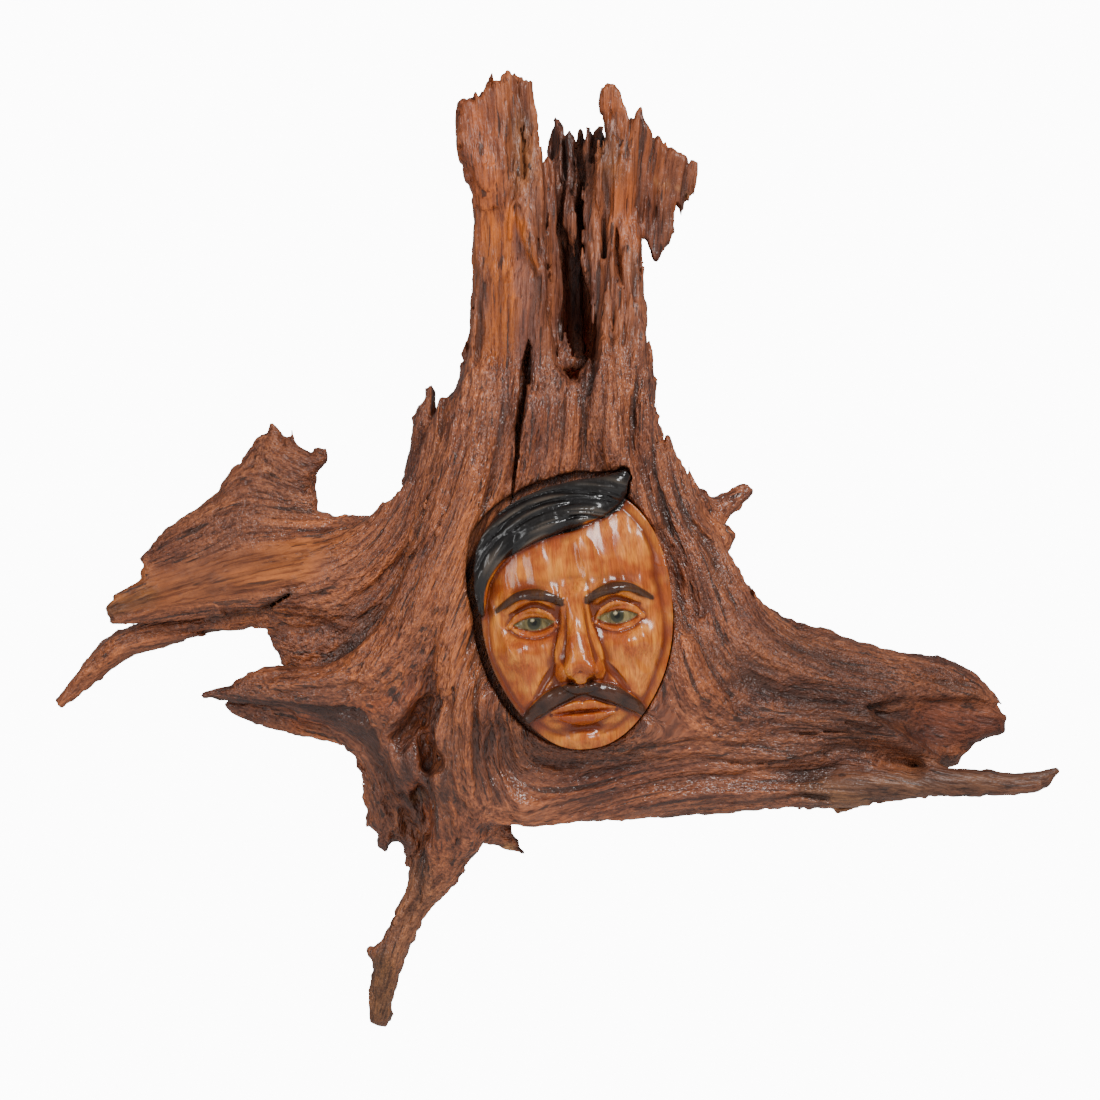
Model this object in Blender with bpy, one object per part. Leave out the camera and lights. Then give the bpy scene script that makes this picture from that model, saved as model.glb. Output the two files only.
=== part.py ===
"""A face carved into a weathered stump: a wall sculpture made from one piece of wood.

The wood is drawn in front view as limbs: slabs with an outline, and roots along a path. Each limb
says how far a point of the front view lies from its middle, how far its middle stands out from
the wall and how thick it is there. The limbs run together into one body, hollows and splits are
cut from it, and the face is carved in its front.

X runs to the viewer's right, Z up and Y into the wall. "Out" is the distance from the wall, so a
point stands at Y = -out. All numbers are in millimetres until the mesh is made.
"""

import math

import bmesh
import bpy
import numpy as np
from mathutils import Matrix

MM = 0.001

# Driving sizes
SPAN = 602.0
DEPTH = 138.0
WING_THICKNESS = 24.0
PRONG_THICKNESS = 26.0
HOLLOW_WALL = 30.0
SPLIT_WIDTH = 4.0
SPLIT_DEPTH = 14.0
CHIP_THICKNESS = 4.0
ROOT_END = 57.0
FACE_WIDTH = 116.0
FACE_HEIGHT = 158.0
FACE_RECESS = 16.0
FACE_TILT_DEG = 5.0
FACE_CENTRE = (9.0, -28.0)
CREVICE_WIDTH = 5.0
CREVICE_DEPTH = 7.0
BLEND = 9.0
RIB_BLEND = 3.0

# How finely the wood is cut, and how much harder the carved face is to thin out than the rest
CUT_STEP = 2.0
TRIANGLES = 9750
FACE_FINENESS = 6e-6

# The limbs are drawn for a stump this wide and this deep, and stretched to the sizes above.
DRAWN_SPAN = 602.0
DRAWN_DEPTH = 138.0
ACROSS = SPAN / DRAWN_SPAN
OUTWARD = DEPTH / DRAWN_DEPTH

# The face is drawn this wide and this high, and fitted to its sizes above.
DRAWN_FACE_WIDTH = 116.0
DRAWN_FACE_HEIGHT = 158.0

# The front of the wood around the face, and how deep the face is rooted in it
FACE_RIM = 114.0
FACE_ROOT = 30.0

# The block that is cut: the lowest and highest x, z and out
BLOCK = ((-310.0, 306.0), (-282.0, 300.0), (-26.0, 150.0))
FAR = 60.0

# The pieces that a curve has between two of its points, and how softly a slab's depths blend
CURVE_STEPS = 8
DEPTH_SOFTNESS = 17.0


def curved(points, steps=CURVE_STEPS):
    """A smooth curve through the points, whose first two numbers are their place."""
    points = np.array(points, float)
    ends = np.vstack([2 * points[0] - points[1], points, 2 * points[-1] - points[-2]])
    curve = []
    for a, b, c, d in zip(ends, ends[1:], ends[2:], ends[3:]):
        for t in np.arange(steps) / steps:
            curve.append(
                0.5 * (2 * b + (c - a) * t + (2 * a - 5 * b + 4 * c - d) * t**2
                       + (3 * b - a - 3 * c + d) * t**3)
            )
    return np.array(curve + [points[-1]])


def along_path(x, z, path):
    """How far each point lies from the path, and the path's own values where it is nearest."""
    nearest = np.full(np.broadcast(x, z).shape, np.inf)
    values = [np.zeros_like(nearest) for _ in range(path.shape[1] - 2)]
    distance = np.full_like(nearest, np.inf)
    for a, b in zip(path, path[1:]):
        step = b[:2] - a[:2]
        t = ((x - a[0]) * step[0] + (z - a[1]) * step[1]) / max(step @ step, 1e-9)
        t = np.clip(t, 0, 1)
        away = np.hypot(x - a[0] - t * step[0], z - a[1] - t * step[1])
        width = a[-1] + t * (b[-1] - a[-1])
        closer = away - width < nearest
        nearest = np.where(closer, away - width, nearest)
        distance = np.where(closer, away, distance)
        for i, value in enumerate(values):
            values[i] = np.where(closer, a[i + 2] + t * (b[i + 2] - a[i + 2]), value)
    return distance, values


def from_outline(x, z, outline):
    """The distance to a closed outline, below zero inside it."""
    away = np.full(np.broadcast(x, z).shape, np.inf)
    inside = np.zeros(away.shape, bool)
    for (ax, az), (bx, bz) in zip(outline, outline[1:] + outline[:1]):
        dx, dz = bx - ax, bz - az
        t = np.clip(((x - ax) * dx + (z - az) * dz) / (dx * dx + dz * dz), 0, 1)
        away = np.minimum(away, np.hypot(x - ax - t * dx, z - az - t * dz))
        crosses = (az > z) != (bz > z)
        with np.errstate(divide="ignore", invalid="ignore"):
            inside ^= crosses & (x < ax + (z - az) * dx / (dz if dz else 1e-9))
    return np.where(inside, -away, away)


class Root:
    """A limb along a path of (x, z, out, radius), as thick as it is wide times flatness."""

    def __init__(self, *path, flatness=1.0):
        self.path = curved(path)
        self.flatness = flatness
        reach = self.path[:, 3].max() + BLEND
        self.box = [
            (self.path[:, i].min() - reach, self.path[:, i].max() + reach) for i in (0, 1)
        ]

    def maps(self, x, z):
        away, (out, radius) = along_path(x, z, self.path)
        return away, radius, out, radius * self.flatness


class Slab:
    """A flattened limb with a drawn outline, rounded over edge, between depths (x, z, out, half)."""

    def __init__(self, outline, depths, edge):
        self.outline = outline
        self.depths = depths
        self.edge = edge
        self.box = [
            (min(p[i] for p in outline) - BLEND, max(p[i] for p in outline) + BLEND)
            for i in (0, 1)
        ]

    def maps(self, x, z):
        away = np.maximum(from_outline(x, z, self.outline) + self.edge, 0)
        total = out = half = 0
        for cx, cz, c_out, c_half in self.depths:
            weight = ((x - cx) ** 2 + (z - cz) ** 2 + DEPTH_SOFTNESS**2) ** -1.5
            total = total + weight
            out = out + weight * c_out
            half = half + weight * c_half
        return away, np.full(away.shape, self.edge), out / total, half / total


WING = WING_THICKNESS / 2
PRONG = PRONG_THICKNESS / 2

TRUNK = Slab(
    [(-50, 236), (-51, 200), (-53, 152), (-56, 112), (-66, 60), (58, 60), (55, 104), (51, 140),
     (49, 168), (46, 206), (44, 236), (37, 262), (33, 268), (30, 262), (26, 266), (22, 258),
     (17, 260), (13, 268), (9, 254), (5, 262), (1, 264), (-3, 270), (-7, 262), (-9, 246), (-14, 250)],
    [(0, 60, 50, 56), (-5, 170, 46, 48), (0, 260, 26, 13), (-40, 230, 40, 26), (40, 230, 40, 26)],
    edge=50,
)
HEART = Slab(
    [(-55, 132), (-61, 104), (-76, 84), (-87, 64), (-94, 46), (-108, 34), (-132, 28), (-152, 14),
     (-172, -6), (-178, -33), (-166, -56), (-150, -74), (-138, -95), (-122, -106), (-108, -130),
     (-90, -152), (-74, -168), (-48, -160), (-34, -149), (20, -147), (90, -142), (150, -137),
     (190, -126), (206, -104), (190, -62), (156, -41), (132, -32), (116, -23), (106, -8), (100, 6),
     (97, 20), (93, 40), (82, 51), (74, 64), (62, 75), (55, 100), (52, 130)],
    [(4, -30, 50, 64), (0, 110, 48, 54), (-110, -5, 46, 26), (-160, -30, 44, 15), (95, 10, 44, 34),
     (0, -140, 58, 34), (150, -90, 50, 36), (-80, -100, 50, 40), (60, -60, 50, 58)],
    edge=54,
)
WING_PLATE = Slab(
    [(-272, -22), (-270, -18), (-253, -7), (-250, 4), (-253, 8), (-250, 9), (-245, 13), (-237, 24),
     (-227, 31), (-215, 40), (-205, 47), (-201, 56), (-193, 65), (-186, 75), (-181, 84),
     (-175, 90.5), (-171, 87), (-168, 82), (-163, 86), (-161, 79), (-156, 76), (-151, 73), (-149, 77),
     (-142, 76), (-140.5, 71), (-145, 63), (-147.5, 54), (-146, 36), (-135, 30), (-114, 29), (-92, 42),
     (-76, 40), (-80, -20), (-110, -34), (-150, -30), (-179, -20), (-190, -22), (-207, -25),
     (-228, -28), (-255, -30), (-267, -28)],
    [(-260, -15, 62, WING * 0.7), (-190, 70, 46, WING * 0.8), (-180, 0, 58, WING * 1.1),
     (-110, 10, 56, WING * 1.5), (-155, 60, 52, WING * 0.8)],
    edge=14,
)
RIGHT_ROOT = Slab(
    [(90, 0), (104, -14), (118, -25), (138, -33), (156, -38), (180, -43.5), (204, -49.5),
     (228, -52), (243, -57), (256, -67), (266, -79), (270, -90), (268, -98), (255, -104), (246, -110),
     (241, -117), (204, -126), (144, -130), (60, -126), (50, -40)],
    [(240, -85, 44, 24), (180, -80, 50, 34), (100, -60, 50, 44)],
    edge=30,
)
LEDGE = Slab(
    [(-202, -79), (-197, -85), (-188, -89), (-176, -94), (-158, -99), (-140, -101.5), (-130, -104),
     (-120, -113), (-114, -124), (-110, -140), (-80, -140), (-80, -60), (-150, -66)],
    [(-190, -84, 48, 5), (-150, -85, 42, 13), (-110, -110, 42, 20)],
    edge=12,
)
LOWER_FLAKE = Slab(
    [(-114, -114), (-116, -132), (-118.5, -157), (-111, -164), (-104, -170), (-97, -169), (-94.5, -180),
     (-95, -193), (-87, -192), (-78, -162), (-72, -126), (-90, -108)],
    [(-105, -150, 36, 11), (-90, -180, 38, 7), (-85, -120, 42, 22)],
    edge=10,
)
LEFT_PRONG = Slab(
    [(-53, 130), (-52, 170), (-52, 200), (-51, 232), (-54, 234), (-59, 252), (-60, 268),
     (-57, 277), (-47, 279), (-43, 284), (-40, 290), (-35, 288), (-32, 292), (-28, 294.5),
     (-24, 291), (-21, 291), (-18, 291), (-15, 276), (-13, 254), (-10, 240), (-8, 205),
     (-9, 160), (-12, 124), (-26, 98), (-42, 92), (-52, 104)],
    [(-40, 270, 64, PRONG), (-20, 280, 60, PRONG * 0.9), (-45, 200, 66, PRONG),
     (-15, 210, 76, PRONG), (-40, 160, 71, PRONG), (-15, 150, 82, PRONG), (-46, 110, 68, PRONG),
     (-25, 108, 78, PRONG)],
    edge=7,
)
RIGHT_PRONG = Slab(
    [(24, 200), (22, 232), (25, 258), (23, 274), (24, 286), (29, 290), (34, 290), (37, 284),
     (38, 278), (44, 270), (46, 276), (49, 278), (51, 271), (54, 264), (58, 257), (62, 256),
     (68, 251), (75, 248), (81, 241), (80.5, 234), (79, 226), (76, 218), (72.5, 213.5), (70, 219),
     (68.4, 214), (68, 201), (66, 194), (63, 191.5), (57, 185), (54, 188), (52, 194), (47, 199),
     (47, 180), (48, 150), (46, 120), (39, 102), (30, 108), (27, 135), (26, 165)],
    [(32, 280, 56, PRONG * 0.9), (35, 230, 62, PRONG), (68, 232, 54, PRONG * 0.5),
     (60, 200, 58, PRONG * 0.5), (36, 180, 72, PRONG), (38, 120, 78, PRONG * 0.8)],
    edge=6,
)
LEFT_SPLINTER = Slab(
    [(-94, 54), (-90, 78), (-89, 92), (-84, 99), (-83, 107), (-78, 109), (-75, 103), (-77, 92),
     (-72, 93), (-66, 102), (-56, 98), (-56, 56)],
    [(-84, 100, 42, 5), (-70, 70, 44, 14)],
    edge=8,
)
CHIP = Slab(
    [(161, -143), (167, -146.5), (174, -145), (181, -143), (177, -139), (174, -126), (160, -126)],
    [(170, -140, 54, CHIP_THICKNESS / 2)],
    edge=2,
)

ROOTS = [
    # left root behind the wing, out to its tip
    Root((-302, -80, 30, 2.4), (-288, -65.5, 33, 5.4), (-267, -47, 38, 8.6), (-244, -38, 42, 10),
         (-215, -32.5, 44, 7.6), (-180, -25, 44, 8), (-140, -12, 46, 13)),
    # fold along the lower edge of the wing
    Root((-268, -23, 63, 3.5), (-240, -17, 65, 9), (-200, -9, 66, 13), (-160, 0, 66, 15),
         (-115, 12, 68, 17), (-81, 44, 72, 16), (-62, 92, 74, 12), flatness=0.6),
    # band that runs down beside the face into the spike
    Root((-44, 112, 74, 15), (-58, 50, 82, 21), (-71, -10, 84, 24), (-94, -50, 77, 21),
         (-132, -68, 69, 15), (-170, -70, 64, 12), (-196, -73.5, 60, 6.5), (-214, -75, 58, 2),
         flatness=0.85),
    # ridge along the left of the face
    Root((-38, 96, 84, 10), (-52, 44, 93, 12), (-59, -10, 93, 13), (-60, -50, 90, 14),
         (-54, -84, 86, 16)),
    # bottom root
    Root((-46, -80, 80, 24), (-58, -114, 76, 24), (-65, -150, 70, 20), (-76, -180, 64, 14),
         (-87, -201, 58, 8.5), (-97, -222, 53, 8.6), (-104, -240, 49, 8), (-108, -258, 46, 6.4),
         (-108.5, -268.5, 44, 6.2)),
    # nub on the bottom root
    Root((-106, -231, 52, 5.5), (-113, -230, 53, 3.0)),
    # spur under the heart, with its splinter
    Root((-48, -150, 52, 13), (-37, -158, 56, 8), (-30, -164, 56, 4.5), (-21.5, -170, 56, 1.0)),
    # long lower root
    Root((-70, -116, 74, 20), (-36, -130, 76, 19), (24, -132, 78, 16), (84, -132, 78, 13.5),
         (132, -130.5, 76, 11.5), (174, -129, 76, 12.5), (204, -127.5, 74, 10), (240, -126.5, 71, 8.6),
         (270, -127.5, 68, 7.2), (285, -126.5, 67, 6.4), (297, -120, 66, 2.2)),
    # shoulder of the right root
    Root((56, 60, 66, 16), (76, 4, 70, 22), (118, -50, 66, 21), (180, -68, 60, 19), (240, -82, 54, 16)),
    # knotted folds between the right root and the long lower one
    Root((112, -92, 72, 8), (150, -88, 80, 9), (178, -87, 83, 10), (194, -91, 82, 9.5),
         (206, -100, 77, 8), (222, -111, 69, 5)),
    Root((84, -113, 80, 6), (132, -108, 85, 6), (170, -105, 82, 5), (184, -112, 77, 4)),
    # ridge below the spike, and the one on the flake under it
    Root((-150, -82, 60, 7), (-124, -90, 66, 8), (-100, -101, 66, 7), (-92, -122, 60, 5)),
    Root((-108, -128, 48, 5), (-104, -148, 48, 6), (-92, -170, 44, 4)),
    # flutes of the trunk's right side, down to the shoulder
    Root((38, 200, 66, 7), (42, 150, 76, 9), (44, 100, 84, 10), (54, 56, 82, 10), (74, 16, 76, 8)),
    Root((26, 130, 92, 6), (27, 104, 98, 8), (34, 66, 98, 8), (52, 30, 92, 7)),
    # knob at the right, and the splinter below it
    Root((84, 26, 44, 12), (96, 37, 42, 8.5), (107, 44.5, 40, 6.5), (112, 48, 39, 5.2)),
    Root((84, 15, 50, 7), (96, 18, 50, 4), (103, 21, 50, 1.5)),
]

LIMBS = [
    HEART, TRUNK, RIGHT_ROOT, WING_PLATE, LEDGE, LOWER_FLAKE, LEFT_PRONG, RIGHT_PRONG,
    LEFT_SPLINTER, CHIP, *ROOTS,
]

# What is cut away, and how far its edges are rounded: the rotted channel in the trunk, the split
# above the face, slots between the splinters, the gap under the wing's fold, the right root's
# broken end, the hollows of the lower left and the bowl under the face
HOLLOWS = [
    (Slab(
        [(-11, 300), (-9, 240), (-8, 205), (-7, 150), (-3, 122), (5, 112), (12, 112), (20, 128),
         (26, 160), (27, 200), (23, 240), (22, 300)],
        [(8, 250, HOLLOW_WALL + 84, 60), (8, 206, HOLLOW_WALL + 78, 60),
         (10, 160, HOLLOW_WALL + 60, 60), (10, 130, HOLLOW_WALL + 54, 60)],
        edge=9,
    ), 3),
    (Root((-19, 132, 106, SPLIT_WIDTH / 2), (-21, 100, 106, SPLIT_WIDTH / 2),
          (-24, 76, 110, SPLIT_WIDTH / 4), flatness=2 * SPLIT_DEPTH / SPLIT_WIDTH), 1),
    (Root((-23, 274, 84, 1.5), (-22, 252, 84, 2.5), (-21, 234, 88, 2), flatness=5.0), 1),
    (Root((32, 212, 84, 1.5), (34, 192, 88, 2.6), (37, 168, 92, 1.5), flatness=7.0), 1),
    (Root((-202, -30, 66, 1.2), (-182, -25, 66, 2.5), (-162, -15, 70, 2.2), flatness=5.0), 1),
    (Slab(
        [(168, -74), (206, -71), (240, -72), (272, -78), (310, -90), (310, -112), (272, -117),
         (240, -116), (220, -110), (190, -94)],
        [(258, -94, ROOT_END + 40, 40), (226, -90, ROOT_END + 47, 40), (196, -84, ROOT_END + 61, 40),
         (172, -80, ROOT_END + 76, 40)],
        edge=9,
    ), 3),
    (Root((164, -108, 94, 3), (188, -109, 91, 4.5), (210, -118, 84, 3), flatness=2.0), 3),
    (Root((-96, -100, 80, 4), (-86, -90, 84, 7), (-74, -78, 92, 4), flatness=2.0), 4),
    (Root((-82, -104, 86, 4), (-80, -116, 88, 5), flatness=2.2), 3),
    (Root((-85, -134, 74, 4), (-82, -148, 72, 5), (-90, -160, 66, 3), flatness=2.4), 3),
    (Root((-34, -104, 112, 9), (-26, -122, 108, 10), (2, -128, 108, 8), (44, -120, 110, 8),
          flatness=1.2), 9),
    (Root((-200, 20, 78, 6), (-176, 26, 80, 12), (-150, 30, 80, 8), flatness=0.9), 8),
]

# Ribs and splinters that stand in the channel and lie on its walls
RIBS = [
    Root((6, 258, 40, 2.5), (8, 215, 54, 4), (10, 160, 40, 4.5), (11, 124, 58, 5)),
    Root((15, 260, 48, 2.5), (18, 222, 62, 5), (21, 180, 68, 5.5), (25, 138, 80, 4.5)),
    Root((-7, 242, 60, 3), (-5, 200, 64, 4.5), (-1, 152, 60, 4.5), (3, 124, 66, 3.5)),
    Root((2, 238, 58, 3), (6, 210, 64, 4), (8.5, 188, 62, 1.2)),
    Root((-22, 216, 84, 3.5), (-17, 192, 91, 4), (-13, 175, 93, 1.5), flatness=0.8),
    Slab(
        [(-59, 266), (-57, 277), (-47, 279), (-43, 284), (-40, 290), (-33, 286), (-31, 262),
         (-34, 240), (-38, 230), (-43, 227), (-48, 231), (-51, 240), (-57, 246)],
        [(-45, 275, 66, PRONG * 0.9), (-45, 235, 74, PRONG * 0.8)],
        edge=4,
    ),
]


def bump(u, v, centre, size, height):
    """A soft mound, or a hollow where height is below zero."""
    return height * np.exp(-((u - centre[0]) / size[0]) ** 2 - ((v - centre[1]) / size[1]) ** 2)


def stroke(u, v, *path):
    """A rounded ridge along a path of (u, v, height, half width)."""
    away, (height, width) = along_path(u, v, curved(path))
    return height * np.sqrt(np.clip(1 - (away / width) ** 2, 0, 1))


def face_coordinates(x, z):
    """A point of the front view on the face: u across it and v up it, as the face is drawn."""
    turn = math.radians(FACE_TILT_DEG)
    dx, dz = x - FACE_CENTRE[0], z - FACE_CENTRE[1]
    u = dx * math.cos(turn) + dz * math.sin(turn)
    v = dz * math.cos(turn) - dx * math.sin(turn)
    return u * DRAWN_FACE_WIDTH / FACE_WIDTH, v * DRAWN_FACE_HEIGHT / FACE_HEIGHT


def oval(u, v):
    """0 in the middle of the face and 1 on its edge, narrower towards the chin."""
    tall = np.where(v > 5, 75, 83)
    wide = np.where(v > 5, 58, 58 - 12 * ((5 - v) / 83) ** 2)
    return (np.abs(u / wide) ** 2.3 + np.abs((v - 5) / tall) ** 2.3) ** (1 / 2.3)


# The swept hair, as a path of (u, v, height, half width)
HAIR = [(-56, 8, 4, 3), (-53, 30, 7, 7), (-42, 49, 9, 12), (-20, 62, 10, 15), (4, 68, 10, 15),
        (24, 72, 9, 11), (36, 82, 6, 4)]


def carved_face(u, v):
    """How far the face stands out of its recess."""
    side = np.abs(u)
    height = 23 * np.clip(1 - oval(u, v) ** 2.2, 0, 1) ** 0.55
    # forehead, brows, eye sockets, temples, cheekbones and jaw
    height += bump(side, v, (14, 36), (24, 20), 2.0)
    height += bump(side, v, (25, 14), (19, 6), 4.5)
    height += bump(side, v, (24, -1), (15, 9), -9.5)
    height += bump(side, v, (50, 18), (7, 12), -2.5)
    height += bump(side, v, (36, -17), (12, 8), 4.0)
    height += bump(side, v, (30, -40), (10, 14), 1.5)
    # eyes between their lids
    across, up = (side - 24.5) / 14.5, (v + 1) / 11
    height = np.maximum(height, 9.5 + 6.5 * np.sqrt(np.clip(1 - across**2 - up**2, 0, 1)))
    height += stroke(side, v, (11, -3.5, 1.2, 1.6), (16, 2.4, 2.6, 2.3), (24, 5.4, 3.2, 2.7),
                     (33, 3.4, 2.8, 2.3), (39.5, -2, 1.4, 1.6))
    height += stroke(side, v, (12, -4, 1.0, 1.4), (18, -6.8, 1.9, 1.8), (25, -7.8, 2.2, 2.0),
                     (33, -5.8, 1.9, 1.8), (38.5, -2.2, 1.0, 1.4))
    height -= stroke(side, v, (13, 6, 0.6, 1.2), (24, 10.4, 1.6, 1.6), (38, 5, 0.8, 1.2))
    # nose
    height += stroke(u, v, (0, 24, 0, 8), (0, 12, 3, 8.5), (0, 0, 5, 9.5), (0, -12, 6.5, 12),
                     (0, -24, 7, 15), (0, -30, 6, 15))
    height += stroke(u, v, (0, 18, 0, 4), (0, 4, 2.5, 5), (0, -10, 5, 6), (0, -22, 8.5, 8),
                     (0, -28, 10, 9), (0, -31, 7, 8))
    height += bump(side, v, (9.8, -30.5), (4.4, 4.6), 7.5)
    height += bump(side, v, (5.2, -36.5), (2.4, 1.8), -3.0)
    # folds beside the mouth, mouth and chin
    height -= stroke(side, v, (14, -27, 0.8, 2.0), (20, -34, 1.8, 2.6), (27, -44, 1.0, 2.2))
    height += bump(u, v, (0, -50), (24, 13), 4.5)
    height += stroke(u, v, (-18, -54.5, 1.0, 1.5), (-5, -51.5, 2.6, 3.0), (0, -52.2, 2.2, 2.8),
                     (5, -51.5, 2.6, 3.0), (18, -54.5, 1.0, 1.5))
    height += stroke(u, v, (-17, -56.5, 1.2, 1.8), (0, -59, 3.8, 4.2), (17, -56.5, 1.2, 1.8))
    height -= stroke(u, v, (-19, -55.6, 1.2, 1.2), (0, -55.2, 3.2, 1.7), (19, -55.6, 1.2, 1.2))
    height += bump(u, v, (0, -65), (12, 3), -2.8)
    height += bump(u, v, (0, -72), (13, 6), 4.2)
    # eyebrows, moustache and hair
    height += stroke(side, v, (8, 10.5, 1.2, 2.4), (20, 15.5, 2.2, 3.4), (33, 15.5, 2.0, 3.0),
                     (45, 8, 0.8, 1.4))
    height += stroke(side, v, (0.8, -42, 2.4, 2.6), (8, -42.5, 4.6, 4.8), (19, -46.5, 4.6, 5.4),
                     (30, -54, 3.4, 4.0), (38, -63, 1.2, 1.2))
    return height + stroke(u, v, *HAIR)


def carve_face(field, x, z, out):
    """Sinks the face's recess into the front of the wood and leaves the face standing in it."""
    u, v = face_coordinates(x, z)
    size = min(FACE_WIDTH, FACE_HEIGHT) / 2
    away, (_, width) = along_path(u, v, curved(HAIR))
    edge = np.minimum((oval(u, v) - 1) * size, away - width)[:, :, None]
    floor = FACE_RIM - FACE_RECESS
    front = (floor + carved_face(u, v))[:, :, None]
    recess = np.minimum(CREVICE_WIDTH / 2 - edge, out - floor + CREVICE_DEPTH)
    face = np.maximum(np.maximum(edge + CREVICE_WIDTH / 2, out - front), FACE_ROOT - out)
    return np.minimum(np.maximum(field, recess), face)


def smooth_min(a, b, blend):
    """The lower of two fields, rounded where they meet."""
    near = np.maximum(blend - np.abs(a - b), 0) / blend
    return np.minimum(a, b) - near * near * blend / 4


def limb_field(limb, x, z, out):
    away, radius, middle, half = (m[:, :, None] for m in limb.maps(x, z))
    return np.sqrt(away**2 + ((out - middle) * radius / half) ** 2) - radius


def wood_field(xs, zs, outs):
    """The wood on a grid: below zero inside it, and about the distance to its surface."""
    field = np.full((len(xs), len(zs), len(outs)), FAR, np.float32)

    def window(limb):
        found = []
        for axis, (low, high) in zip((xs, zs), limb.box):
            found.append(slice(*np.searchsorted(axis, (low, high))))
        return tuple(found)

    for limb in LIMBS:
        here = window(limb)
        one = limb_field(limb, xs[here[0], None], zs[None, here[1]], outs)
        field[here] = smooth_min(field[here], one, BLEND)
    for hollow, rounding in HOLLOWS:
        here = window(hollow)
        one = limb_field(hollow, xs[here[0], None], zs[None, here[1]], outs)
        field[here] = -smooth_min(-field[here], one, rounding)
    for rib in RIBS:
        here = window(rib)
        one = limb_field(rib, xs[here[0], None], zs[None, here[1]], outs)
        field[here] = smooth_min(field[here], one, RIB_BLEND)
    return carve_face(field, xs[:, None], zs[None, :], outs)


def surface_net(field, axes):
    """The surface where the field is zero: one point for each cell that it crosses, and quads."""
    inside = field < 0
    cells = tuple(n - 1 for n in field.shape)
    corners = [(i, j, k) for i in (0, 1) for j in (0, 1) for k in (0, 1)]

    def corner(array, offset):
        return array[tuple(slice(o, o + n) for o, n in zip(offset, cells))]

    count = sum(corner(inside, c).astype(np.int8) for c in corners)
    places = np.argwhere((count > 0) & (count < 8))
    index = np.full(cells, -1, np.int64)
    index[tuple(places.T)] = np.arange(len(places))
    total = np.zeros((len(places), 3))
    crossings = np.zeros(len(places))
    for a in corners:
        for axis in range(3):
            if a[axis]:
                continue
            b = tuple(o + (i == axis) for i, o in enumerate(a))
            at_a = field[tuple((places + a).T)]
            at_b = field[tuple((places + b).T)]
            crosses = (at_a < 0) != (at_b < 0)
            share = np.where(crosses, at_a / np.where(crosses, at_a - at_b, 1), 0)
            point = np.array(a, float)[None, :].repeat(len(places), 0)
            point[:, axis] += share
            total[crosses] += point[crosses]
            crossings += crosses
    points = places + total / crossings[:, None]
    points = np.column_stack([
        np.interp(points[:, i], np.arange(len(a)), a) for i, a in enumerate(axes)
    ])
    quads = []
    for axis in range(3):
        one, two = [i for i in range(3) if i != axis]
        low = [slice(1, -1)] * 3
        high = [slice(1, -1)] * 3
        low[axis], high[axis] = slice(0, -1), slice(1, None)
        starts, ends = inside[tuple(low)], inside[tuple(high)]
        for first, flip in ((starts & ~ends, axis == 1), (~starts & ends, axis != 1)):
            cell = np.argwhere(first)
            cell[:, [one, two]] += 1
            ring = []
            for back in ((0, 0), (1, 0), (1, 1), (0, 1)):
                moved = cell.copy()
                moved[:, one] -= back[0]
                moved[:, two] -= back[1]
                ring.append(index[tuple(moved.T)])
            quad = np.column_stack(ring)
            quads.append(quad[:, ::-1] if flip else quad)
    return points, np.vstack(quads)


def clear_scene():
    for obj in list(bpy.data.objects):
        bpy.data.objects.remove(obj)


def add_object(name, mesh):
    obj = bpy.data.objects.new(name, mesh)
    bpy.context.collection.objects.link(obj)
    return obj


def applied(obj):
    """The object's mesh with its modifiers, as a new mesh."""
    graph = bpy.context.evaluated_depsgraph_get()
    return bpy.data.meshes.new_from_object(obj.evaluated_get(graph))


def rough_wood():
    """The wood as it comes from the field, at its drawn size and before it is thinned."""
    axes = [np.arange(low, high, CUT_STEP) for low, high in BLOCK]
    field = wood_field(*axes)
    points, quads = surface_net(field, axes)
    x, z, out = points.T
    mesh = bpy.data.meshes.new("rough_wood")
    mesh.from_pydata(np.column_stack([x, -out, z]) * MM, [], quads)
    return mesh


def wood_material():
    material = bpy.data.materials.new("varnished_wood")
    material.use_nodes = True
    shader = material.node_tree.nodes["Principled BSDF"]
    shader.inputs["Base Color"].default_value = (0.17, 0.065, 0.03, 1)
    shader.inputs["Roughness"].default_value = 0.42
    shader.inputs["Metallic"].default_value = 0.0
    return material


def keep_largest(mesh):
    """Leaves only the largest connected body of the mesh."""
    edit = bmesh.new()
    edit.from_mesh(mesh)
    left = set(edit.verts)
    bodies = []
    while left:
        body, waiting = set(), [left.pop()]
        while waiting:
            vert = waiting.pop()
            body.add(vert)
            for edge in vert.link_edges:
                other = edge.other_vert(vert)
                if other in left:
                    left.discard(other)
                    waiting.append(other)
        bodies.append(body)
    bodies.sort(key=len)
    bmesh.ops.delete(edit, geom=[v for body in bodies[:-1] for v in body], context="VERTS")
    edit.to_mesh(mesh)
    edit.free()


def thin_out(wood):
    """A Decimate that keeps the carved face finer than the bark and the back."""
    group = wood.vertex_groups.new(name="bark")
    for vert in wood.data.vertices:
        u, v = face_coordinates(vert.co.x / MM, vert.co.z / MM)
        carved = -vert.co.y / MM > FACE_RIM - FACE_RECESS - CREVICE_DEPTH and oval(u, v) < 1.1
        group.add([vert.index], 0.5 if carved else 1.0, "REPLACE")
    thin = wood.modifiers.new("thin_out", "DECIMATE")
    thin.ratio = TRIANGLES / (2 * len(wood.data.polygons))
    thin.vertex_group = group.name
    thin.vertex_group_factor = FACE_FINENESS
    thin.use_collapse_triangulate = True


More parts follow.
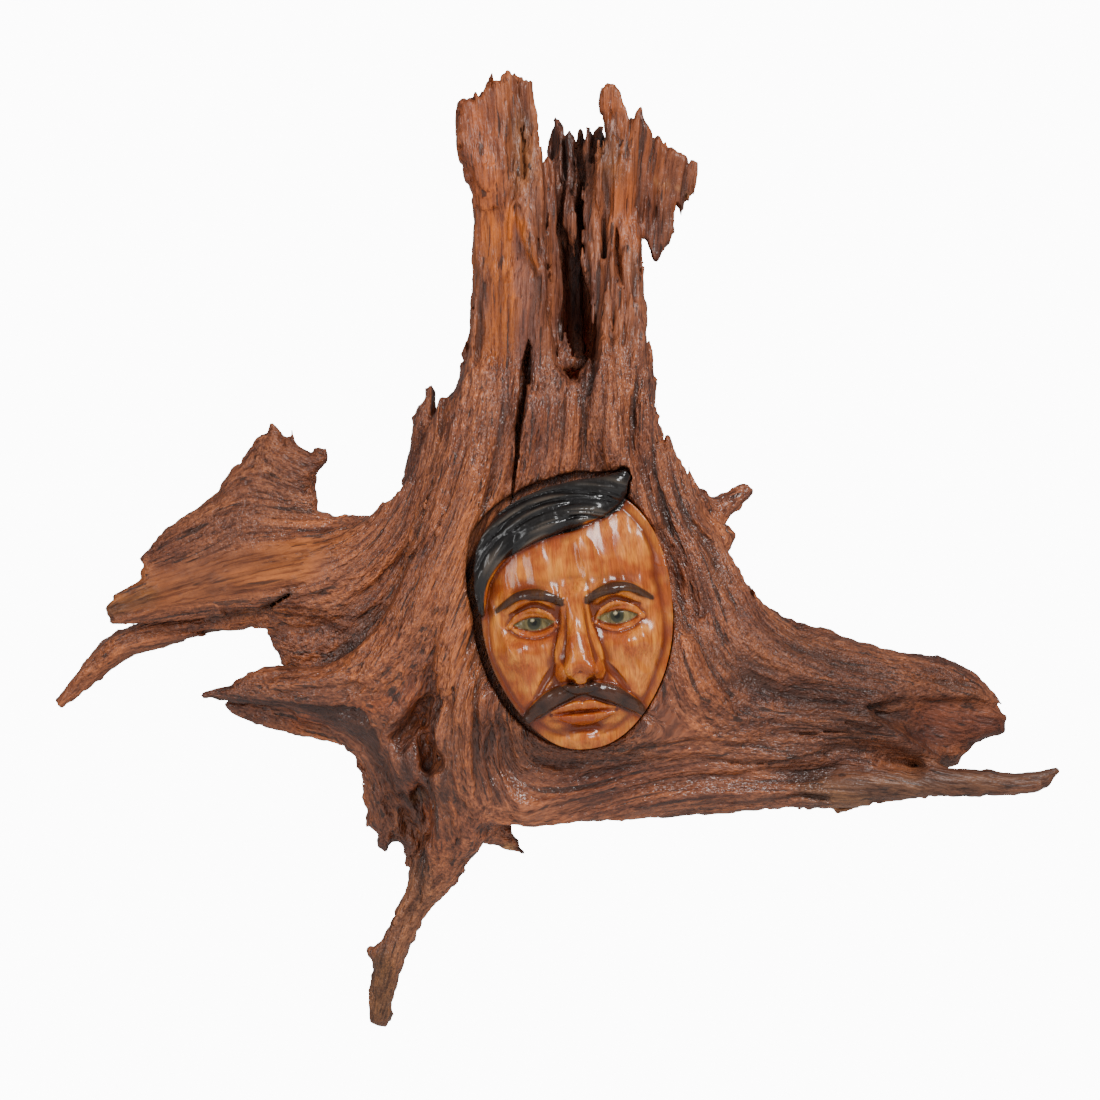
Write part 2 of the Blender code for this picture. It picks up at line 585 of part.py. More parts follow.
def saw_back(stump):
    """Saws the back flat where the wood reaches the wall."""
    wall = bpy.data.meshes.new("wall")
    edit = bmesh.new()
    bmesh.ops.create_cube(edit, size=1.0)
    reach = 2 * SPAN * MM
    for vert in edit.verts:
        vert.co = (vert.co.x * reach, (vert.co.y + 0.5) * DEPTH * MM, vert.co.z * reach)
    edit.to_mesh(wall)
    edit.free()
    cutter = add_object("wall_cutter", wall)
    cutter.hide_render = True
    cutter.display_type = "WIRE"
    saw = stump.modifiers.new("saw_back", "BOOLEAN")
    saw.operation = "DIFFERENCE"
    saw.object = cutter


def main():
    clear_scene()
    rough = add_object("rough_wood", rough_wood())
    even = rough.modifiers.new("even", "REMESH")
    even.mode = "VOXEL"
    even.voxel_size = CUT_STEP * MM
    mesh = applied(rough)
    bpy.data.objects.remove(rough)
    keep_largest(mesh)
    drawn = add_object("drawn_wood", mesh)
    thin_out(drawn)
    mesh = applied(drawn)
    bpy.data.objects.remove(drawn)
    mesh.transform(Matrix.Diagonal((ACROSS, OUTWARD, ACROSS, 1)))
    mesh.name = "carved_stump"
    mesh.materials.append(wood_material())
    saw_back(add_object("carved_stump", mesh))


main()
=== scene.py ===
"""The looks of the carved stump: its weathered grain, its varnish and the painted face in its front.

The stump is made from the same limbs, hollows and face as its solid, on a finer grid. Its grain is a
map over the front view, made from lines that run down the trunk and out along the roots. X runs to
the viewer's right, Z up and Y into the wall; "out" is the distance from the wall. The shapes are in
millimetres and the scene is in metres.
"""

import math

import bpy
import numpy as np
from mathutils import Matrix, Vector


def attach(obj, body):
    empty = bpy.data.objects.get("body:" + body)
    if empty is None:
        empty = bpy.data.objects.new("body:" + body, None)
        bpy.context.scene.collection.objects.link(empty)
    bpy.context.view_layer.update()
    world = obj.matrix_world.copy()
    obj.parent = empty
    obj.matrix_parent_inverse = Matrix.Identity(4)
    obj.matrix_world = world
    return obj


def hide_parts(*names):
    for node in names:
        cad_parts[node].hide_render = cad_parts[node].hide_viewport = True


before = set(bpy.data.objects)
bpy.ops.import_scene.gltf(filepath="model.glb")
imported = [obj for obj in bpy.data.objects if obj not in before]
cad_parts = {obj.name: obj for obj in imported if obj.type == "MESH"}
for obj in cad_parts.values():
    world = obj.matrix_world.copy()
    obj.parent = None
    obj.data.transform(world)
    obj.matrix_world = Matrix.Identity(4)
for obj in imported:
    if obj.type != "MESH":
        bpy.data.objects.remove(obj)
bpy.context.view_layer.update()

MM = 0.001

# Driving sizes
SPAN = 602.0
DEPTH = 138.0
WING_THICKNESS = 24.0
PRONG_THICKNESS = 26.0
HOLLOW_WALL = 30.0
SPLIT_WIDTH = 4.0
SPLIT_DEPTH = 14.0
CHIP_THICKNESS = 4.0
ROOT_END = 57.0
FACE_WIDTH = 116.0
FACE_HEIGHT = 158.0
FACE_RECESS = 16.0
FACE_TILT_DEG = 5.0
FACE_CENTRE = (9.0, -28.0)
CREVICE_WIDTH = 5.0
CREVICE_DEPTH = 7.0
BLEND = 9.0
RIB_BLEND = 3.0

# The limbs are drawn for a stump this wide and this deep, and stretched to the sizes above.
DRAWN_SPAN = 602.0
DRAWN_DEPTH = 138.0
ACROSS = SPAN / DRAWN_SPAN
OUTWARD = DEPTH / DRAWN_DEPTH

# The face is drawn this wide and this high, and fitted to its sizes above.
DRAWN_FACE_WIDTH = 116.0
DRAWN_FACE_HEIGHT = 158.0

# The front of the wood around the face
FACE_RIM = 114.0

# The block that is cut: the lowest and highest x, z and out
BLOCK = ((-310.0, 306.0), (-282.0, 300.0), (-26.0, 150.0))

# The distance to the wood that empty space starts with
FAR = 60.0

# The pieces that a curve has between two of its points, and how softly a slab's depths blend
CURVE_STEPS = 8
DEPTH_SOFTNESS = 17.0


def curved(points, steps=CURVE_STEPS):
    """A smooth curve through the points, whose first two numbers are their place."""
    points = np.array(points, float)
    ends = np.vstack([2 * points[0] - points[1], points, 2 * points[-1] - points[-2]])
    curve = []
    for a, b, c, d in zip(ends, ends[1:], ends[2:], ends[3:]):
        for t in np.arange(steps) / steps:
            curve.append(
                0.5 * (2 * b + (c - a) * t + (2 * a - 5 * b + 4 * c - d) * t**2
                       + (3 * b - a - 3 * c + d) * t**3)
            )
    return np.array(curve + [points[-1]])


def along_path(x, z, path):
    """How far each point lies from the path, and the path's own values where it is nearest."""
    nearest = np.full(np.broadcast(x, z).shape, np.inf)
    values = [np.zeros_like(nearest) for _ in range(path.shape[1] - 2)]
    distance = np.full_like(nearest, np.inf)
    for a, b in zip(path, path[1:]):
        step = b[:2] - a[:2]
        t = ((x - a[0]) * step[0] + (z - a[1]) * step[1]) / max(step @ step, 1e-9)
        t = np.clip(t, 0, 1)
        away = np.hypot(x - a[0] - t * step[0], z - a[1] - t * step[1])
        width = a[-1] + t * (b[-1] - a[-1])
        closer = away - width < nearest
        nearest = np.where(closer, away - width, nearest)
        distance = np.where(closer, away, distance)
        for i, value in enumerate(values):
            values[i] = np.where(closer, a[i + 2] + t * (b[i + 2] - a[i + 2]), value)
    return distance, values


def from_outline(x, z, outline):
    """The distance to a closed outline, below zero inside it."""
    away = np.full(np.broadcast(x, z).shape, np.inf)
    inside = np.zeros(away.shape, bool)
    for (ax, az), (bx, bz) in zip(outline, outline[1:] + outline[:1]):
        dx, dz = bx - ax, bz - az
        t = np.clip(((x - ax) * dx + (z - az) * dz) / (dx * dx + dz * dz), 0, 1)
        away = np.minimum(away, np.hypot(x - ax - t * dx, z - az - t * dz))
        crosses = (az > z) != (bz > z)
        with np.errstate(divide="ignore", invalid="ignore"):
            inside ^= crosses & (x < ax + (z - az) * dx / (dz if dz else 1e-9))
    return np.where(inside, -away, away)


class Root:
    """A limb along a path of (x, z, out, radius), as thick as it is wide times flatness."""

    def __init__(self, *path, flatness=1.0):
        self.path = curved(path)
        self.flatness = flatness
        reach = self.path[:, 3].max() + BLEND
        self.box = [
            (self.path[:, i].min() - reach, self.path[:, i].max() + reach) for i in (0, 1)
        ]

    def maps(self, x, z):
        away, (out, radius) = along_path(x, z, self.path)
        return away, radius, out, radius * self.flatness


class Slab:
    """A flattened limb with a drawn outline, rounded over edge, between depths (x, z, out, half)."""

    def __init__(self, outline, depths, edge):
        self.outline = outline
        self.depths = depths
        self.edge = edge
        self.box = [
            (min(p[i] for p in outline) - BLEND, max(p[i] for p in outline) + BLEND)
            for i in (0, 1)
        ]

    def maps(self, x, z):
        away = np.maximum(from_outline(x, z, self.outline) + self.edge, 0)
        total = out = half = 0
        for cx, cz, c_out, c_half in self.depths:
            weight = ((x - cx) ** 2 + (z - cz) ** 2 + DEPTH_SOFTNESS**2) ** -1.5
            total = total + weight
            out = out + weight * c_out
            half = half + weight * c_half
        return away, np.full(away.shape, self.edge), out / total, half / total


WING = WING_THICKNESS / 2
PRONG = PRONG_THICKNESS / 2

TRUNK = Slab(
    [(-50, 236), (-51, 200), (-53, 152), (-56, 112), (-66, 60), (58, 60), (55, 104), (51, 140),
     (49, 168), (46, 206), (44, 236), (37, 262), (33, 268), (30, 262), (26, 266), (22, 258),
     (17, 260), (13, 268), (9, 254), (5, 262), (1, 264), (-3, 270), (-7, 262), (-9, 246), (-14, 250)],
    [(0, 60, 50, 56), (-5, 170, 46, 48), (0, 260, 26, 13), (-40, 230, 40, 26), (40, 230, 40, 26)],
    edge=50,
)
HEART = Slab(
    [(-55, 132), (-61, 104), (-76, 84), (-87, 64), (-94, 46), (-108, 34), (-132, 28), (-152, 14),
     (-172, -6), (-178, -33), (-166, -56), (-150, -74), (-138, -95), (-122, -106), (-108, -130),
     (-90, -152), (-74, -168), (-48, -160), (-34, -149), (20, -147), (90, -142), (150, -137),
     (190, -126), (206, -104), (190, -62), (156, -41), (132, -32), (116, -23), (106, -8), (100, 6),
     (97, 20), (93, 40), (82, 51), (74, 64), (62, 75), (55, 100), (52, 130)],
    [(4, -30, 50, 64), (0, 110, 48, 54), (-110, -5, 46, 26), (-160, -30, 44, 15), (95, 10, 44, 34),
     (0, -140, 58, 34), (150, -90, 50, 36), (-80, -100, 50, 40), (60, -60, 50, 58)],
    edge=54,
)
WING_PLATE = Slab(
    [(-272, -22), (-270, -18), (-253, -7), (-250, 4), (-253, 8), (-250, 9), (-245, 13), (-237, 24),
     (-227, 31), (-215, 40), (-205, 47), (-201, 56), (-193, 65), (-186, 75), (-181, 84),
     (-175, 90.5), (-171, 87), (-168, 82), (-163, 86), (-161, 79), (-156, 76), (-151, 73), (-149, 77),
     (-142, 76), (-140.5, 71), (-145, 63), (-147.5, 54), (-146, 36), (-135, 30), (-114, 29), (-92, 42),
     (-76, 40), (-80, -20), (-110, -34), (-150, -30), (-179, -20), (-190, -22), (-207, -25),
     (-228, -28), (-255, -30), (-267, -28)],
    [(-260, -15, 62, WING * 0.7), (-190, 70, 46, WING * 0.8), (-180, 0, 58, WING * 1.1),
     (-110, 10, 56, WING * 1.5), (-155, 60, 52, WING * 0.8)],
    edge=14,
)
RIGHT_ROOT = Slab(
    [(90, 0), (104, -14), (118, -25), (138, -33), (156, -38), (180, -43.5), (204, -49.5),
     (228, -52), (243, -57), (256, -67), (266, -79), (270, -90), (268, -98), (255, -104), (246, -110),
     (241, -117), (204, -126), (144, -130), (60, -126), (50, -40)],
    [(240, -85, 44, 24), (180, -80, 50, 34), (100, -60, 50, 44)],
    edge=30,
)
LEDGE = Slab(
    [(-202, -79), (-197, -85), (-188, -89), (-176, -94), (-158, -99), (-140, -101.5), (-130, -104),
     (-120, -113), (-114, -124), (-110, -140), (-80, -140), (-80, -60), (-150, -66)],
    [(-190, -84, 48, 5), (-150, -85, 42, 13), (-110, -110, 42, 20)],
    edge=12,
)
LOWER_FLAKE = Slab(
    [(-114, -114), (-116, -132), (-118.5, -157), (-111, -164), (-104, -170), (-97, -169), (-94.5, -180),
     (-95, -193), (-87, -192), (-78, -162), (-72, -126), (-90, -108)],
    [(-105, -150, 36, 11), (-90, -180, 38, 7), (-85, -120, 42, 22)],
    edge=10,
)
LEFT_PRONG = Slab(
    [(-53, 130), (-52, 170), (-52, 200), (-51, 232), (-54, 234), (-59, 252), (-60, 268),
     (-57, 277), (-47, 279), (-43, 284), (-40, 290), (-35, 288), (-32, 292), (-28, 294.5),
     (-24, 291), (-21, 291), (-18, 291), (-15, 276), (-13, 254), (-10, 240), (-8, 205),
     (-9, 160), (-12, 124), (-26, 98), (-42, 92), (-52, 104)],
    [(-40, 270, 64, PRONG), (-20, 280, 60, PRONG * 0.9), (-45, 200, 66, PRONG),
     (-15, 210, 76, PRONG), (-40, 160, 71, PRONG), (-15, 150, 82, PRONG), (-46, 110, 68, PRONG),
     (-25, 108, 78, PRONG)],
    edge=7,
)
RIGHT_PRONG = Slab(
    [(24, 200), (22, 232), (25, 258), (23, 274), (24, 286), (29, 290), (34, 290), (37, 284),
     (38, 278), (44, 270), (46, 276), (49, 278), (51, 271), (54, 264), (58, 257), (62, 256),
     (68, 251), (75, 248), (81, 241), (80.5, 234), (79, 226), (76, 218), (72.5, 213.5), (70, 219),
     (68.4, 214), (68, 201), (66, 194), (63, 191.5), (57, 185), (54, 188), (52, 194), (47, 199),
     (47, 180), (48, 150), (46, 120), (39, 102), (30, 108), (27, 135), (26, 165)],
    [(32, 280, 56, PRONG * 0.9), (35, 230, 62, PRONG), (68, 232, 54, PRONG * 0.5),
     (60, 200, 58, PRONG * 0.5), (36, 180, 72, PRONG), (38, 120, 78, PRONG * 0.8)],
    edge=6,
)
LEFT_SPLINTER = Slab(
    [(-94, 54), (-90, 78), (-89, 92), (-84, 99), (-83, 107), (-78, 109), (-75, 103), (-77, 92),
     (-72, 93), (-66, 102), (-56, 98), (-56, 56)],
    [(-84, 100, 42, 5), (-70, 70, 44, 14)],
    edge=8,
)
CHIP = Slab(
    [(161, -143), (167, -146.5), (174, -145), (181, -143), (177, -139), (174, -126), (160, -126)],
    [(170, -140, 54, CHIP_THICKNESS / 2)],
    edge=2,
)

ROOTS = [
    # left root behind the wing, out to its tip
    Root((-302, -80, 30, 2.4), (-288, -65.5, 33, 5.4), (-267, -47, 38, 8.6), (-244, -38, 42, 10),
         (-215, -32.5, 44, 7.6), (-180, -25, 44, 8), (-140, -12, 46, 13)),
    # fold along the lower edge of the wing
    Root((-268, -23, 63, 3.5), (-240, -17, 65, 9), (-200, -9, 66, 13), (-160, 0, 66, 15),
         (-115, 12, 68, 17), (-81, 44, 72, 16), (-62, 92, 74, 12), flatness=0.6),
    # band that runs down beside the face into the spike
    Root((-44, 112, 74, 15), (-58, 50, 82, 21), (-71, -10, 84, 24), (-94, -50, 77, 21),
         (-132, -68, 69, 15), (-170, -70, 64, 12), (-196, -73.5, 60, 6.5), (-214, -75, 58, 2),
         flatness=0.85),
    # ridge along the left of the face
    Root((-38, 96, 84, 10), (-52, 44, 93, 12), (-59, -10, 93, 13), (-60, -50, 90, 14),
         (-54, -84, 86, 16)),
    # bottom root
    Root((-46, -80, 80, 24), (-58, -114, 76, 24), (-65, -150, 70, 20), (-76, -180, 64, 14),
         (-87, -201, 58, 8.5), (-97, -222, 53, 8.6), (-104, -240, 49, 8), (-108, -258, 46, 6.4),
         (-108.5, -268.5, 44, 6.2)),
    # nub on the bottom root
    Root((-106, -231, 52, 5.5), (-113, -230, 53, 3.0)),
    # spur under the heart, with its splinter
    Root((-48, -150, 52, 13), (-37, -158, 56, 8), (-30, -164, 56, 4.5), (-21.5, -170, 56, 1.0)),
    # long lower root
    Root((-70, -116, 74, 20), (-36, -130, 76, 19), (24, -132, 78, 16), (84, -132, 78, 13.5),
         (132, -130.5, 76, 11.5), (174, -129, 76, 12.5), (204, -127.5, 74, 10), (240, -126.5, 71, 8.6),
         (270, -127.5, 68, 7.2), (285, -126.5, 67, 6.4), (297, -120, 66, 2.2)),
    # shoulder of the right root
    Root((56, 60, 66, 16), (76, 4, 70, 22), (118, -50, 66, 21), (180, -68, 60, 19), (240, -82, 54, 16)),
    # knotted folds between the right root and the long lower one
    Root((112, -92, 72, 8), (150, -88, 80, 9), (178, -87, 83, 10), (194, -91, 82, 9.5),
         (206, -100, 77, 8), (222, -111, 69, 5)),
    Root((84, -113, 80, 6), (132, -108, 85, 6), (170, -105, 82, 5), (184, -112, 77, 4)),
    # ridge below the spike, and the one on the flake under it
    Root((-150, -82, 60, 7), (-124, -90, 66, 8), (-100, -101, 66, 7), (-92, -122, 60, 5)),
    Root((-108, -128, 48, 5), (-104, -148, 48, 6), (-92, -170, 44, 4)),
    # flutes of the trunk's right side, down to the shoulder
    Root((38, 200, 66, 7), (42, 150, 76, 9), (44, 100, 84, 10), (54, 56, 82, 10), (74, 16, 76, 8)),
    Root((26, 130, 92, 6), (27, 104, 98, 8), (34, 66, 98, 8), (52, 30, 92, 7)),
    # knob at the right, and the splinter below it
    Root((84, 26, 44, 12), (96, 37, 42, 8.5), (107, 44.5, 40, 6.5), (112, 48, 39, 5.2)),
    Root((84, 15, 50, 7), (96, 18, 50, 4), (103, 21, 50, 1.5)),
]

LIMBS = [
    HEART, TRUNK, RIGHT_ROOT, WING_PLATE, LEDGE, LOWER_FLAKE, LEFT_PRONG, RIGHT_PRONG,
    LEFT_SPLINTER, CHIP, *ROOTS,
]

# What is cut away, and how far its edges are rounded: the rotted channel in the trunk, the split
# above the face, slots between the splinters, the gap under the wing's fold, the right root's
# broken end, the hollows of the lower left and the bowl under the face
HOLLOWS = [
    (Slab(
        [(-11, 300), (-9, 240), (-8, 205), (-7, 150), (-3, 122), (5, 112), (12, 112), (20, 128),
         (26, 160), (27, 200), (23, 240), (22, 300)],
        [(8, 250, HOLLOW_WALL + 84, 60), (8, 206, HOLLOW_WALL + 78, 60),
         (10, 160, HOLLOW_WALL + 60, 60), (10, 130, HOLLOW_WALL + 54, 60)],
        edge=9,
    ), 3),
    (Root((-19, 132, 106, SPLIT_WIDTH / 2), (-21, 100, 106, SPLIT_WIDTH / 2),
          (-24, 76, 110, SPLIT_WIDTH / 4), flatness=2 * SPLIT_DEPTH / SPLIT_WIDTH), 1),
    (Root((-23, 274, 84, 1.5), (-22, 252, 84, 2.5), (-21, 234, 88, 2), flatness=5.0), 1),
    (Root((32, 212, 84, 1.5), (34, 192, 88, 2.6), (37, 168, 92, 1.5), flatness=7.0), 1),
    (Root((-202, -30, 66, 1.2), (-182, -25, 66, 2.5), (-162, -15, 70, 2.2), flatness=5.0), 1),
    (Slab(
        [(168, -74), (206, -71), (240, -72), (272, -78), (310, -90), (310, -112), (272, -117),
         (240, -116), (220, -110), (190, -94)],
        [(258, -94, ROOT_END + 40, 40), (226, -90, ROOT_END + 47, 40), (196, -84, ROOT_END + 61, 40),
         (172, -80, ROOT_END + 76, 40)],
        edge=9,
    ), 3),
    (Root((164, -108, 94, 3), (188, -109, 91, 4.5), (210, -118, 84, 3), flatness=2.0), 3),
    (Root((-96, -100, 80, 4), (-86, -90, 84, 7), (-74, -78, 92, 4), flatness=2.0), 4),
    (Root((-82, -104, 86, 4), (-80, -116, 88, 5), flatness=2.2), 3),
    (Root((-85, -134, 74, 4), (-82, -148, 72, 5), (-90, -160, 66, 3), flatness=2.4), 3),
    (Root((-34, -104, 112, 9), (-26, -122, 108, 10), (2, -128, 108, 8), (44, -120, 110, 8),
          flatness=1.2), 9),
    (Root((-200, 20, 78, 6), (-176, 26, 80, 12), (-150, 30, 80, 8), flatness=0.9), 8),
]

# Ribs and splinters that stand in the channel and lie on its walls
RIBS = [
    Root((6, 258, 40, 2.5), (8, 215, 54, 4), (10, 160, 40, 4.5), (11, 124, 58, 5)),
    Root((15, 260, 48, 2.5), (18, 222, 62, 5), (21, 180, 68, 5.5), (25, 138, 80, 4.5)),
    Root((-7, 242, 60, 3), (-5, 200, 64, 4.5), (-1, 152, 60, 4.5), (3, 124, 66, 3.5)),
    Root((2, 238, 58, 3), (6, 210, 64, 4), (8.5, 188, 62, 1.2)),
    Root((-22, 216, 84, 3.5), (-17, 192, 91, 4), (-13, 175, 93, 1.5), flatness=0.8),
    Slab(
        [(-59, 266), (-57, 277), (-47, 279), (-43, 284), (-40, 290), (-33, 286), (-31, 262),
         (-34, 240), (-38, 230), (-43, 227), (-48, 231), (-51, 240), (-57, 246)],
        [(-45, 275, 66, PRONG * 0.9), (-45, 235, 74, PRONG * 0.8)],
        edge=4,
    ),
]


def bump(u, v, centre, size, height):
    """A soft mound, or a hollow where height is below zero."""
    return height * np.exp(-((u - centre[0]) / size[0]) ** 2 - ((v - centre[1]) / size[1]) ** 2)


def stroke(u, v, *path):
    """A rounded ridge along a path of (u, v, height, half width)."""
    away, (height, width) = along_path(u, v, curved(path))
    return height * np.sqrt(np.clip(1 - (away / width) ** 2, 0, 1))


def face_coordinates(x, z):
    """A point of the front view on the face: u across it and v up it, as the face is drawn."""
    turn = math.radians(FACE_TILT_DEG)
    dx, dz = x - FACE_CENTRE[0], z - FACE_CENTRE[1]
    u = dx * math.cos(turn) + dz * math.sin(turn)
    v = dz * math.cos(turn) - dx * math.sin(turn)
    return u * DRAWN_FACE_WIDTH / FACE_WIDTH, v * DRAWN_FACE_HEIGHT / FACE_HEIGHT


def oval(u, v):
    """0 in the middle of the face and 1 on its edge, narrower towards the chin."""
    tall = np.where(v > 5, 75, 83)
    wide = np.where(v > 5, 58, 58 - 12 * ((5 - v) / 83) ** 2)
    return (np.abs(u / wide) ** 2.3 + np.abs((v - 5) / tall) ** 2.3) ** (1 / 2.3)


# The swept hair, half of the moustache and an eyebrow, as paths of (u, v, height, half width)
HAIR = [(-56, 8, 4, 3), (-53, 30, 7, 7), (-42, 49, 9, 12), (-20, 62, 10, 15), (4, 68, 10, 15),
        (24, 72, 9, 11), (36, 82, 6, 4)]
MOUSTACHE = [(0.8, -42, 2.4, 2.6), (8, -42.5, 4.6, 4.8), (19, -46.5, 4.6, 5.4), (30, -54, 3.4, 4.0),
             (38, -63, 1.2, 1.2)]
EYEBROW = [(8, 10.5, 1.2, 2.4), (20, 15.5, 2.2, 3.4), (33, 15.5, 2.0, 3.0), (45, 8, 0.8, 1.4)]

# How far each eye lies from the middle of the face
EYE_PLACE = 24.5


def carved_face(u, v):
    """How far the face stands out of its recess."""
    side = np.abs(u)
    height = 23 * np.clip(1 - oval(u, v) ** 2.2, 0, 1) ** 0.55
    # forehead, brows, eye sockets, temples, cheekbones and jaw
    height += bump(side, v, (14, 36), (24, 20), 2.0)
    height += bump(side, v, (25, 14), (19, 6), 4.5)
    height += bump(side, v, (24, -1), (15, 9), -9.5)
    height += bump(side, v, (50, 18), (7, 12), -2.5)
    height += bump(side, v, (36, -17), (12, 8), 4.0)
    height += bump(side, v, (30, -40), (10, 14), 1.5)
    # eyes between their lids
    across = (side - EYE_PLACE) / 14.5
    up = (v + 1) / 11
    height = np.maximum(height, 9.5 + 6.5 * np.sqrt(np.clip(1 - across**2 - up**2, 0, 1)))
    height += stroke(side, v, (11, -3.5, 1.2, 1.6), (16, 2.4, 2.6, 2.3), (24, 5.4, 3.2, 2.7),
                     (33, 3.4, 2.8, 2.3), (39.5, -2, 1.4, 1.6))
    height += stroke(side, v, (12, -4, 1.0, 1.4), (18, -6.8, 1.9, 1.8), (25, -7.8, 2.2, 2.0),
                     (33, -5.8, 1.9, 1.8), (38.5, -2.2, 1.0, 1.4))
    height -= stroke(side, v, (13, 6, 0.6, 1.2), (24, 10.4, 1.6, 1.6), (38, 5, 0.8, 1.2))
    # nose
    height += stroke(u, v, (0, 24, 0, 8), (0, 12, 3, 8.5), (0, 0, 5, 9.5), (0, -12, 6.5, 12),
                     (0, -24, 7, 15), (0, -30, 6, 15))
    height += stroke(u, v, (0, 18, 0, 4), (0, 4, 2.5, 5), (0, -10, 5, 6), (0, -22, 8.5, 8),
                     (0, -28, 10, 9), (0, -31, 7, 8))
    height += bump(side, v, (9.8, -30.5), (4.4, 4.6), 7.5)
    height += bump(side, v, (5.2, -36.5), (2.4, 1.8), -3.0)
    # folds beside the mouth, mouth and chin
    height -= stroke(side, v, (14, -27, 0.8, 2.0), (20, -34, 1.8, 2.6), (27, -44, 1.0, 2.2))
    height += bump(u, v, (0, -50), (24, 13), 4.5)
    height += stroke(u, v, (-18, -54.5, 1.0, 1.5), (-5, -51.5, 2.6, 3.0), (0, -52.2, 2.2, 2.8),
                     (5, -51.5, 2.6, 3.0), (18, -54.5, 1.0, 1.5))
    height += stroke(u, v, (-17, -56.5, 1.2, 1.8), (0, -59, 3.8, 4.2), (17, -56.5, 1.2, 1.8))
    height -= stroke(u, v, (-19, -55.6, 1.2, 1.2), (0, -55.2, 3.2, 1.7), (19, -55.6, 1.2, 1.2))
    height += bump(u, v, (0, -65), (12, 3), -2.8)
    height += bump(u, v, (0, -72), (13, 6), 4.2)
    # eyebrows, moustache and hair
    height += stroke(side, v, *EYEBROW)
    height += stroke(side, v, *MOUSTACHE)
    return height + stroke(u, v, *HAIR)


def smooth_min(a, b, blend):
    """The lower of two fields, rounded where they meet."""
    near = np.maximum(blend - np.abs(a - b), 0) / blend
    return np.minimum(a, b) - near * near * blend / 4


# Limbs that were torn off or split have squarer edges than the rest
TORN_LIMBS = [LEFT_PRONG, RIGHT_PRONG, LEFT_SPLINTER, *RIBS]


def limb_field(limb, x, z, out):
    """The distance to one limb, below zero inside it."""
    power = 4 if limb in TORN_LIMBS else 2
    away, radius, middle, half = (m[:, :, None] for m in limb.maps(x, z))
    level = np.abs(out - middle) * radius / half
    return (away**power + level**power) ** (1 / power) - radius


def window(xs, zs, limb):
    """The part of the grid that a limb can reach."""
    found = []
    for axis, (low, high) in zip((xs, zs), limb.box):
        found.append(slice(*np.searchsorted(axis, (low, high))))
    return tuple(found)


# How much softer the edges of the small pits are than in the solid
PIT_EASE = 6


def wood_field(xs, zs, outs, x, z):
    """The wood on a grid, read at the places (x, z): below zero inside it."""
    field = np.full((len(xs), len(zs), len(outs)), FAR, np.float32)

    def work_in(limb, side, rounding):
        here = window(xs, zs, limb)
        one = limb_field(limb, x[here], z[here], outs)
        field[here] = side * smooth_min(side * field[here], one, rounding)

    for limb in LIMBS:
        work_in(limb, 1, BLEND)
    for hollow, rounding in HOLLOWS:
        round_pit = isinstance(hollow, Root) and rounding > 1
        work_in(hollow, -1, rounding + PIT_EASE * round_pit)
    for rib in RIBS:
        work_in(rib, 1, RIB_BLEND)
    return field


def surface_net(field, axes):
    """The surface where the field is zero: one point for each cell that it crosses, and quads."""
    inside = field < 0
    cells = tuple(n - 1 for n in field.shape)
    corners = [(i, j, k) for i in (0, 1) for j in (0, 1) for k in (0, 1)]

    def corner(array, offset):
        return array[tuple(slice(o, o + n) for o, n in zip(offset, cells))]

    count = sum(corner(inside, c).astype(np.int8) for c in corners)
    places = np.argwhere((count > 0) & (count < 8))
    index = np.full(cells, -1, np.int64)
    index[tuple(places.T)] = np.arange(len(places))
    total = np.zeros((len(places), 3))
    crossings = np.zeros(len(places))
    for a in corners:
        for axis in range(3):
            if a[axis]:
                continue
            b = tuple(o + (i == axis) for i, o in enumerate(a))
            at_a = field[tuple((places + a).T)]
            at_b = field[tuple((places + b).T)]
            crosses = (at_a < 0) != (at_b < 0)
            share = np.where(crosses, at_a / np.where(crosses, at_a - at_b, 1), 0)
            point = np.array(a, float)[None, :].repeat(len(places), 0)
            point[:, axis] += share
            total[crosses] += point[crosses]
            crossings += crosses
    points = places + total / crossings[:, None]
    points = np.column_stack([
        np.interp(points[:, i], np.arange(len(a)), a) for i, a in enumerate(axes)
    ])
    quads = []
    for axis in range(3):
        one, two = [i for i in range(3) if i != axis]
        low = [slice(1, -1)] * 3
        high = [slice(1, -1)] * 3
        low[axis], high[axis] = slice(0, -1), slice(1, None)
        starts, ends = inside[tuple(low)], inside[tuple(high)]
        for first, flip in ((starts & ~ends, axis == 1), (~starts & ends, axis != 1)):
            cell = np.argwhere(first)
            cell[:, [one, two]] += 1
            ring = []
            for back in ((0, 0), (1, 0), (1, 1), (0, 1)):
                moved = cell.copy()
                moved[:, one] -= back[0]
                moved[:, two] -= back[1]
                ring.append(index[tuple(moved.T)])
            quad = np.column_stack(ring)
            quads.append(quad[:, ::-1] if flip else quad)
    return points, np.vstack(quads)


# How finely the stump and the face are made, and the most triangles that each may have
STUMP_STEP = 1.35
FACE_STEP = 0.75
STUMP_TRIANGLES = 196000
FACE_TRIANGLES = 120000

# The odd numbers that the random lattice is mixed with
LATTICE = [np.uint32(n) for n in (0x8DA6B343, 0xD8163841, 0xCB1AB31F)]
MIXERS = [(np.uint32(16), np.uint32(0x7FEB352D)), (np.uint32(15), np.uint32(0x846CA68B))]


def hashed(cells, seed):
    """A steady random number from 0 to 1 for each cell of a lattice."""
    number = np.full(1, seed, np.uint32) * LATTICE[0]
    for cell, factor in zip(cells, LATTICE):
        number = (number + cell.astype(np.int32).view(np.uint32) * factor) ^ (number >> MIXERS[0][0])
    for shift, factor in MIXERS:
        number = (number ^ (number >> shift)) * factor
    return (number >> np.uint32(8)) / np.float32(2**24)


